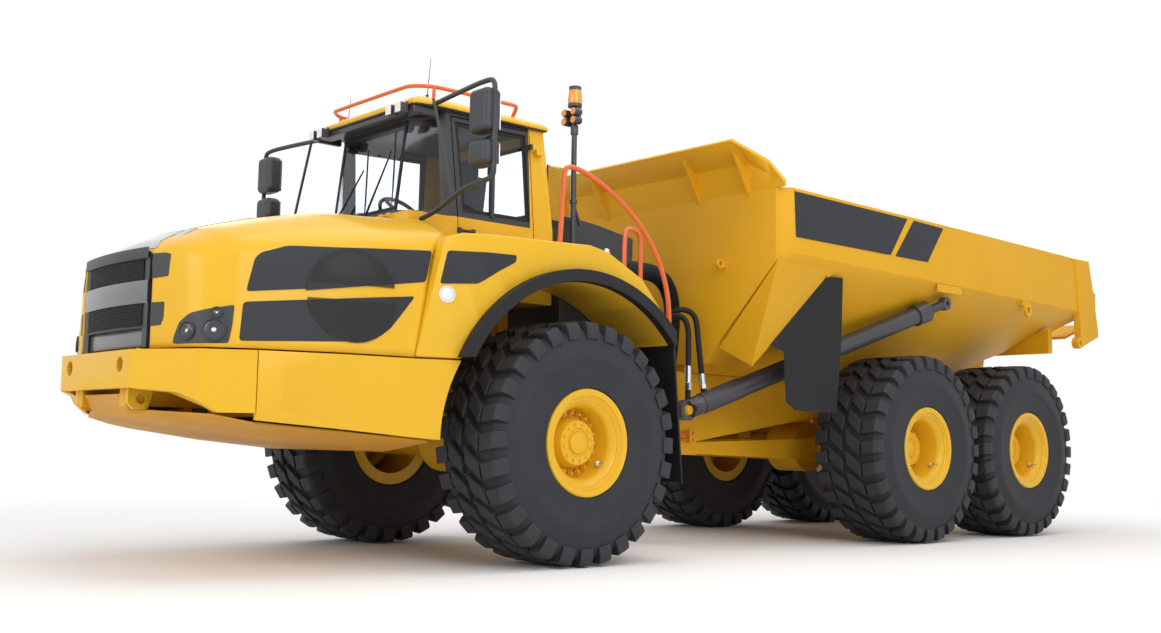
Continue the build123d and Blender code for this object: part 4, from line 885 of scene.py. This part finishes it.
def bow_x(y, proud=0.0, bow=BOW):
    """How far forward a bowed line stands at a place across."""
    return GRILLE_X + proud + bow * (1 - (y / BOW_HALF) ** 2)


def bowed_bar(bm, low, high, back, proud=0.0, bow=BOW):
    """A bar across the grille whose front bows forward in plan."""
    rows = []
    for step in range(BAR_STEPS + 1):
        y = -GRILLE_HALF + 2 * GRILLE_HALF * step / BAR_STEPS
        x = bow_x(y, proud, bow)
        rows.append([Vector((back, y, low)), Vector((x - 0.006, y, low)), Vector((x, y, low + 0.012)),
                     Vector((x, y, high - 0.012)), Vector((x - 0.006, y, high)), Vector((back, y, high))])
    lofted(bm, rows)
    ends = [e for e in bm.edges if len(e.link_faces) == 1]
    bmesh.ops.holes_fill(bm, edges=ends, sides=0)


bm = bmesh.new()
bowed_bar(bm, 1.808, 1.962, 5.44)
made("grille_bar_middle", bm, BAR_GREY, "grille_hatch", smooth=35)
bm = bmesh.new()
bowed_bar(bm, 1.52, 1.64, 5.44, -0.03, bow=0.03)
made("grille_bar_low", bm, BAR_GREY, "grille_hatch", smooth=35)
bm = bmesh.new()
bowed_bar(bm, 2.11, 2.186, 5.504, 0.006)
bowed_bar(bm, 1.64, 1.662, 5.44, -0.012)
for side in (-1, 1):
    block(bm, 5.44, 5.502, side * 0.47, side * GRILLE_HALF, GRILLE_LOW, GRILLE_HIGH)
    block(bm, 5.43, 5.47, side * 0.44, side * 0.47, GRILLE_LOW, GRILLE_HIGH)
made("grille_frame", bm, CHARCOAL, "grille_hatch", bevel=0.004, stands_for=("grille_hatch",))
bm = bmesh.new()
block(bm, 5.44, 5.444, -0.47, 0.47, 1.53, 2.14)
for step in range(-30, 31):
    y = step * WIRE_STEP
    rod(bm, (bow_x(y, -0.014), y, 1.65), (bow_x(y, -0.014), y, 2.135), WIRE_R, 6)
for step in range(31):
    z = 1.656 + step * WIRE_STEP
    line = [(bow_x(y, -0.011), y, z) for y in (-0.47, -0.3, -0.1, 0.1, 0.3, 0.47)]
    for a, b in zip(line, line[1:]):
        rod(bm, a, b, WIRE_R, 6)
made("grille_net", bm, NET, "grille_hatch")

# %% [markdown]
# ## Cab
# Below the windows the cab is yellow. Round the windows it is charcoal, apart from the pillar at the rear, so
# the two colours share one shell. The shell is cut along the border and the faces past it get the second
# finish. Each pane has a black rubber edge, made by insetting the pane's own face and keeping only the rim.


# %% Two colours on one piece, and rubber round each pane
def repainted(piece, material, test):
    """Gives the faces whose middle passes a test a second finish."""
    piece.data.materials.append(material)
    for polygon in piece.data.polygons:
        if test(polygon.center, polygon.normal):
            polygon.material_index = len(piece.data.materials) - 1


BELT_Z, PILLAR_X, LEVEL = 2.665, 2.43, (0, 0, 1)
CAB_CUTS = [((0, 0, BELT_Z), LEVEL), ((PILLAR_X, 0, 0), (1, 0, 0))]


def window_frame(middle, normal):
    return middle.z > BELT_Z and middle.x > PILLAR_X


for node, width in (("cab_shell", 0.008), ("door_frame", 0.004)):
    piece = body_node(node, YELLOW, bevel=width, cuts=CAB_CUTS)
    repainted(piece, CHARCOAL, window_frame)
roof = body_node("cab_roof", YELLOW, bevel=0.022, segments=3)
repainted(roof, DARK, lambda middle, normal: normal.z < -0.5)
lamps = body_node("roof_lamps", DARK, bevel=0.01)
repainted(lamps, WHITE_LAMP, lambda middle, normal: normal.x > 0.9)


CAB_MIDDLE = Vector((2.85, 0.0, 3.05))
RUBBER_WIDTH, RUBBER_PROUD = 0.034, 0.004


def pane_rim(node, body):
    """A black rim on the outside of each pane of a node."""
    def shows(face):
        """True for a large face that looks away from the middle of the cab."""
        return face.calc_area() > 0.04 and face.normal.dot(face.calc_center_median() - CAB_MIDDLE) > 0.2

    bm = merged(node)
    bm.normal_update()
    outside = [f for f in bm.faces if shows(f)]
    rest = [f for f in bm.faces if f not in outside]
    bmesh.ops.delete(bm, geom=rest, context="FACES")
    bmesh.ops.inset_individual(bm, faces=outside, thickness=RUBBER_WIDTH, use_even_offset=True)
    bmesh.ops.delete(bm, geom=outside, context="FACES")
    for v in extruded(bm, bm.faces[:]):
        v.co += v.normal * RUBBER_PROUD
    made(node + "_rim", bm, BLACK, body, smooth=30)


pane_rim("cab_glass", "tractor")
pane_rim("door_glass", "door")


# %% Wipers, window bar, door handle, antennas and sun visor
def screen_x(z):
    """How far forward the windscreen's flat middle stands at a height."""
    return 3.54 - (z - 2.66) * 0.119


bm = bmesh.new()
for foot_y, tip_y, tip_z in ((0.1, 0.36, 3.2), (-0.36, -0.02, 3.1)):
    foot = Vector((screen_x(2.7) + 0.03, foot_y, 2.7))
    tip = Vector((screen_x(tip_z) + 0.03, tip_y, tip_z))
    rod(bm, foot, tip, 0.01, 8, 0.006)
    rod(bm, foot - Vector((0.045, 0, 0.03)), foot + Vector((0.006, 0, 0)), 0.02, 12)
    rod(bm, tip + Vector((-0.008, 0.02, -0.42)), tip + Vector((-0.012, 0.04, 0.16)), 0.007, 6)
made("wipers", bm, BLACK)
bm = bmesh.new()
block(bm, 2.812, 2.842, 0.74, 0.792, 3.05, 3.375)
block(bm, 2.812, 2.842, 0.768, 0.812, 2.7, 3.05)
rod(bm, (3.02, 0.815, 2.56), (3.14, 0.815, 2.56), 0.012, 10)
block(bm, 3.0, 3.03, 0.795, 0.822, 2.54, 2.58)
block(bm, 3.13, 3.16, 0.795, 0.822, 2.54, 2.58)
made("door_handle_and_bar", bm, CHARCOAL, "door", bevel=0.003)
bm = bmesh.new()
for foot, tip in (((3.36, 0.62, 3.6), (3.34, 0.63, 3.93)), ((3.3, -0.66, 3.6), (3.27, -0.67, 3.88))):
    rod(bm, foot, tip, 0.004, 6, 0.0015)
    rod(bm, Vector(foot) - Vector((0, 0, 0.012)), Vector(foot) + Vector((0, 0, 0.03)), 0.013, 12)
made("antennas", bm, BLACK)
bm = bmesh.new()
block(bm, 3.44, 3.555, -0.69, 0.69, 3.455, 3.5)
block(bm, 3.33, 3.56, -0.74, -0.69, 3.44, 3.5)
block(bm, 3.33, 3.56, 0.69, 0.74, 3.44, 3.5)
made("sun_visor", bm, DARK, bevel=0.01)
print("cab dressed")

# %% Mirror heads: rounded housings with glass that looks back at the driver
# Columns: lowest and highest place
MIRROR_HEADS = [(3.125, 3.447), (2.88, 3.072)]
heads, glasses = bmesh.new(), bmesh.new()
for low, high in MIRROR_HEADS:
    block(heads, 3.455, 3.602, 1.484, 1.708, low, high)
    block(glasses, 3.449, 3.458, 1.506, 1.686, low + 0.022, high - 0.022)
made("mirror_housings", heads, CHARCOAL, bevel=0.045, segments=5, both=True)
made("mirror_glasses", glasses, MIRROR, bevel=0.006, both=True)

# %% Beacon with its small lamps
BEACON = Vector((1.88, 0.7, 0))
bm = bmesh.new()
turned(bm,
       [(3.828, 0.0), (3.828, 0.062), (3.85, 0.066), (3.93, 0.06), (3.965, 0.048), (3.982, 0.02),
        (3.984, 0.0)],
       BEACON, LEVEL, 40)
made("beacon_lens", bm, AMBER, smooth=50)
bm = bmesh.new()
turned(bm, [(3.845, 0.0), (3.845, 0.03), (3.915, 0.03), (3.935, 0.0)], BEACON, LEVEL, 24)
made("beacon_bulb", bm, ORANGE)
housings, faces = bmesh.new(), bmesh.new()
for y, z in ((0.64, 3.745), (0.76, 3.745), (0.64, 3.672), (0.76, 3.672)):
    rod(housings, (1.872, y, z), (1.95, y, z), 0.034, 20)
    rod(faces, (1.948, y, z), (1.956, y, z), 0.029, 20)
block(housings, 1.876, 1.9, 0.62, 0.78, 3.655, 3.765)
made("indicator_housings", housings, DARK, bevel=0.003)
made("indicator_lenses", faces, AMBER)

# %% [markdown]
# ## Fender panel and side lamp
# The grey panel of the hood's side goes on over the fender, and a round white lamp sits below it.

# %% Panel and lamp on the fender
bm = bmesh.new()
line = [(3.742, 2.262), (3.191, 2.279), (3.199, 2.228), (3.367, 2.138), (3.522, 2.041), (3.792, 2.023)]
flat_face(bm, sideways(line), 0.018)
fender_mesh = bmesh.new()
fender_mesh.from_mesh(NODES["fenders"].data)
FENDER_SURFACE = BVHTree.FromBMesh(fender_mesh)
fender_mesh.free()
dropped(bm, SIDEWAYS, -0.001, 0.005, FENDER_SURFACE)
made("fender_panels", bm, PANEL, smooth=40, both=True)
rings, lenses = bmesh.new(), bmesh.new()
place, normal = FENDER_SURFACE.ray_cast(Vector((3.74, OUT_Y, 1.95)), Vector(SIDEWAYS))[:2]
turned(rings, [(-0.01, 0.06), (0.01, 0.06), (0.014, 0.056), (0.012, 0.05), (-0.01, 0.05)], place, normal, 32)
turned(lenses, [(0.004, 0.05), (0.016, 0.044), (0.022, 0.026), (0.024, 0.0)], place, normal, 32)
made("side_lamp_rings", rings, WHITE_LAMP, both=True)
made("side_lamps", lenses, WHITE_LAMP, both=True)

# %% [markdown]
# ## Sleeve, hose ends and rails
# The ribs of the sleeve are rings, because its outline shows them against the bed. It starts on the cab unit
# and ends on the joint. The rails are steel tubes with wide bends: a smooth curve with a round bevel, made
# into a mesh.

# %% Ribbed sleeve over the joint
SLEEVE_R, RIB_DEPTH = 0.08, 0.01
bm = bmesh.new()
line = read_line(SLEEVE_ROUTE, 36)
rings = []
for step, point in enumerate(line):
    ahead = line[min(step + 1, len(line) - 1)] - line[max(step - 1, 0)]
    r = SLEEVE_R - (RIB_DEPTH if step % 2 else 0)
    ring = bmesh.ops.create_circle(bm, cap_ends=False, segments=24, radius=r,
                                   matrix=facing(point, ahead))["verts"]
    rings.append(list({edge for v in ring for edge in v.link_edges}))
for ring, following in zip(rings, rings[1:]):
    bmesh.ops.bridge_loops(bm, edges=ring + following)
bmesh.ops.holes_fill(bm, edges=[edge for edge in bm.edges if len(edge.link_faces) == 1], sides=0)
sleeve = made("joint_sleeve", bm, BLACK, None, smooth=50, stands_for=("link_hoses",))
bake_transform(sleeve)
print("sleeve with", len(rings), "rings")

# %% Steel ends of the pressure hoses
bm = bmesh.new()
for start, end in (((0.4995, 0.76, 1.64), (0.504, 0.76, 1.365)),
                   ((0.3675, 0.802, 1.575), (0.349, 0.811, 1.405))):
    a, b = Vector(start), Vector(end)
    rod(bm, a, a.lerp(b, 0.55), 0.032, 24)
    rod(bm, a.lerp(b, 0.55), a.lerp(b, 0.8), 0.037, 6)
    rod(bm, a.lerp(b, 0.8), b, 0.024, 16)
made("hose_ends", bm, STEEL, "rear_frame", bevel=0.002, both=True)

# %% Handrails and mirror arms
RAIL_R = 0.02
SIDE_RAIL = [
    (2.711, 2.4), (2.695, 2.7), (2.68, 2.985), (2.64, 3.05), (2.45, 3.02), (2.16, 2.9), (1.86, 2.7),
    (1.64, 2.43), (1.535, 2.17), (1.513, 1.95), (1.513, 1.78),
]
REAR_LOOP = [
    (1.745, 2.04), (1.745, 2.45), (1.74, 2.66), (1.715, 2.705), (1.64, 2.712), (1.57, 2.68), (1.556, 2.6),
    (1.556, 2.3), (1.556, 2.0),
]
ROOF_RAIL = [
    (2.5, 0.6, 3.59), (2.5, 0.66, 3.66), (2.52, 0.7, 3.69), (2.6, 0.7, 3.69), (3.28, 0.7, 3.69),
    (3.4, 0.66, 3.69), (3.49, 0.57, 3.69), (3.5, 0.48, 3.69),
]
MIRROR_ARM = [
    (3.508, 0.79, 2.6), (3.508, 1.0, 2.63), (3.514, 1.34, 2.77), (3.52, 1.64, 2.785), (3.52, 1.705, 2.8),
    (3.52, 1.712, 2.9), (3.52, 1.702, 3.4), (3.52, 1.698, 3.49), (3.518, 1.64, 3.52), (3.48, 1.3, 3.522),
    (3.4, 0.74, 3.515),
]
for side, sign in SIDES:
    side_rail = pipe([(x, 1.5 * sign, z) for x, z in SIDE_RAIL], RAIL_R)
    made(f"side_rail_{side}", side_rail, ORANGE)
    rear_loop = pipe([(x, 1.2 * sign, z) for x, z in REAR_LOOP], RAIL_R)
    made(f"rear_loop_{side}", rear_loop, ORANGE)
    mirror_arm = pipe([(x, y * sign, z) for x, y, z in MIRROR_ARM], 0.019)
    made(f"mirror_arm_{side}", mirror_arm, CHARCOAL)
roof_rail = pipe(ROOF_RAIL + [(x, -y, z) for x, y, z in reversed(ROOF_RAIL)], 0.016)
made("roof_rail", roof_rail, ORANGE, stands_for=("handrails", "mirrors"))
bm = bmesh.new()
rod(bm, (3.34, 0.68, 3.56), (3.35, 0.7, 3.69), 0.014, 12)
rod(bm, (1.513, 1.5, 1.79), (1.57, 1.5, 1.79), RAIL_R, 16)
made("rail_feet", bm, ORANGE, both=True)
bm = bmesh.new()
rod(bm, (3.498, 0.907, 3.52), (3.508, 1.203, 2.72), 0.012, 12)
for z in (3.25, 3.4, 2.93, 3.02):
    block(bm, 3.5, 3.54, 1.66, 1.716, z - 0.016, z + 0.016)
made("mirror_braces", bm, CHARCOAL, bevel=0.003, both=True)

# %% [markdown]
# ## Deck behind the cab
# Between the cab and the bed stand a filter, the lamp mast and a screen of stretched metal. The screen is a
# mesh of thin bars in front of a dark sheet.

# %% Screen, filter and mast brace
bm = bmesh.new()
for step in range(15):
    x = 2.008 + step * 0.0118
    rod(bm, (x, 0.716, 2.785), (x, 0.716, 3.245), 0.0024, 6)
for step in range(38):
    z = 2.788 + step * 0.0123
    rod(bm, (2.006, 0.718, z), (2.173, 0.718, z), 0.0024, 6)
made("screen_bars", bm, YELLOW)
bm = bmesh.new()
turned(bm,
       [(2.37, 0.0), (2.37, 0.036), (2.38, 0.041), (2.56, 0.041), (2.575, 0.034), (2.6, 0.03), (2.6, 0.0)],
       Vector((1.533, 0.75, 0)), LEVEL, 32)
made("filter", bm, STEEL, smooth=40)
bm = bmesh.new()
rod(bm, (1.888, 0.7, 2.977), (1.797, 0.7, 2.78), 0.015, 12)
rod(bm, (1.88, 0.7, 2.96), (1.88, 0.7, 2.995), 0.034, 20)
rod(bm, (1.88, 0.7, 3.56), (1.88, 0.7, 3.64), 0.034, 20)
made("mast_brace", bm, DARK, bevel=0.003)

# %% [markdown]
# ## Bed corners
# At each front corner of the bed a slanted wing plate keeps spill off the joint, and a rubber flap is bolted
# along its edge. They are flat sheets, so each is a face pushed out to its thickness. Lugs with an eye stand
# on the front wall and on the side.

# %% Wings, flaps and their bolts
WING = [(0.231, 0.888, 1.813), (0.231, 1.6, 2.575), (-0.605, 1.6, 2.575), (0.128, 1.2, 1.638)]
FLAP = [(-0.48, 1.562, 2.488), (-0.7, 1.58, 2.5), (-0.809, 1.48, 1.957), (-0.836, 1.4, 1.245),
        (-0.231, 1.4, 1.255), (-0.132, 1.38, 1.326), (-0.135, 1.35, 1.789), (-0.01, 1.296, 1.838)]


def sheet_plate(bm, corners, depth):
    """A thin sheet through corners that are nearly in one plane."""
    face = bm.faces.new([bm.verts.new(p) for p in corners])
    bmesh.ops.translate(bm, vec=depth, verts=extruded(bm, [face]))
    bmesh.ops.triangulate(bm, faces=[f for f in bm.faces if len(f.verts) > 3 or f.calc_area() > 0.1])


corners = [Vector(p) for p in WING]
outward = (corners[3] - corners[2]).cross(corners[0] - corners[3]).normalized()
if outward.y < 0:
    outward.negate()
WING_WALL = 0.016
bm = bmesh.new()
sheet_plate(bm, WING, outward * WING_WALL)
made("bed_wing_plates", bm, BED_YELLOW, "dump_bed", bevel=0.003, both=True, stands_for=("bed_wings",))
bm = bmesh.new()
sheet_plate(bm, FLAP, (-0.008, 0.01, -0.004))
made("stone_flap_sheets", bm, BLACK, "dump_bed", both=True, stands_for=("stone_flaps",))
bm = bmesh.new()
for share in (0.25, 0.42, 0.6, 0.78):
    at = corners[3].lerp(corners[2],
                         share) + outward * WING_WALL + (corners[0] - corners[3]).normalized() * 0.04
    rod(bm, at, at + outward * 0.012, 0.015, 6)
for x, z in ((-0.47, 2.52), (-0.53, 2.52), (-0.5, 2.47)):
    at = Vector((x, 1.56, z)) + outward * WING_WALL
    rod(bm, at, at + outward * 0.014, 0.013, 6)
made("wing_bolts", bm, DARK, "dump_bed", bevel=0.002, both=True)

# %% Lugs with an eye, and the bars on the bed's sides
bm = bmesh.new()
EYE = [(-0.015, 0.022), (-0.015, 0.048), (0.015, 0.048), (0.015, 0.022), (-0.015, 0.022)]
turned(bm, EYE, Vector((0.292, 0.95, 2.587)), steps=28)
block(bm, 0.225, 0.262, 0.936, 0.964, 2.555, 2.619)
turned(bm, [(a, r * 1.5) for a, r in EYE], Vector((-3.93, 1.668, 2.455)), steps=28)
block(bm, -4.005, -3.855, 1.61, 1.655, 2.5, 2.64)
block(bm, -2.62, -2.18, 1.648, 1.664, 2.5, 2.58)
made("bed_lugs", bm, BED_YELLOW, "dump_bed", bevel=0.003, both=True)

# %% Grey panels on the bed's sides, left blank
SIDE_Y = 1.658
PANELS = [[(0.095, 3.195), (-1.653, 3.17), (-1.367, 2.781), (0.073, 2.785)],
          [(-1.767, 3.168), (-2.287, 3.155), (-2.0, 2.78), (-1.452, 2.78)]]
for number, outline in enumerate(PANELS, 1):
    bm = bmesh.new()
    sheet_plate(bm, [(x, SIDE_Y, z) for x, z in outline], (0, 0.008, 0))
    made(f"bed_panel_{number}", bm, PANEL, "dump_bed", both=True, stands_for=("bed_plates",))

# %% Lock rods at the joint
bm = bmesh.new()
for z in (0.972, 1.03):
    rod(bm, (0.34, 0.446, z), (0.105, 0.446, z), 0.012, 12)
    rod(bm, (0.12, 0.446, z), (0.1, 0.446, z), 0.018, 12)
made("lock_rods", bm, ORANGE, "rear_frame", both=True)
bm = bmesh.new()
block(bm, 0.128, 0.158, 0.418, 0.466, 0.945, 1.058)
made("lock_rod_clips", bm, FRAME_YELLOW, "rear_frame", bevel=0.003, both=True)

# %% [markdown]
# ## Painted pieces that keep their construction shape
# Frames, axles, the bumper and the bed are already right in shape. Each gets rounded edges, which catch
# the light as real plate edges do, and its own finish.

# %% Dress the construction pieces
DRESSED = [
    (FRAME_YELLOW, 0.004, "front_frame"), (FRAME_YELLOW, 0.006, "front_axle"),
    (DARK, 0.01, "engine_and_gearbox"), (YELLOW, 0.01, "bumper"), (YELLOW, 0.006, "side_tanks"),
    # The belly pan takes the darker yellow, which is painted shade.
    (BELLY_SHADED, 0.006, "belly_pan"), (YELLOW, 0.012, "fenders"), (BLACK, 0.006, "arch_trims"),
    (CHARCOAL, 0.012, "deck_module"), (INSIDE, 0.012, "cab_interior"),
    (DARK, 0.003, "beacon_mast steering_barrels"), (FRAME_YELLOW, 0.005, "hitch rear_frame"),
    (FRAME_YELLOW, 0.008, "bogie_beams"), (FRAME_YELLOW, 0.006, "mid_axle rear_axle"),
    (BED_YELLOW, 0.006, "bed_tub"), (BED_YELLOW, 0.005, "bed_guard"),
    (DARK, 0.003, "hoist_barrel_left hoist_barrel_right hoist_rod_left hoist_rod_right"),
    (STEEL, 0.0, "steering_rod_left steering_rod_right"), (DARK, 0.0, "mesh_guard"),
]
for material, width, nodes in DRESSED:
    for node in nodes.split():
        body_node(node, material, bevel=width)
for node in ("cab_glass", "door_glass"):
    NODES[node].data.materials.clear()
    NODES[node].data.materials.append(GLASS)
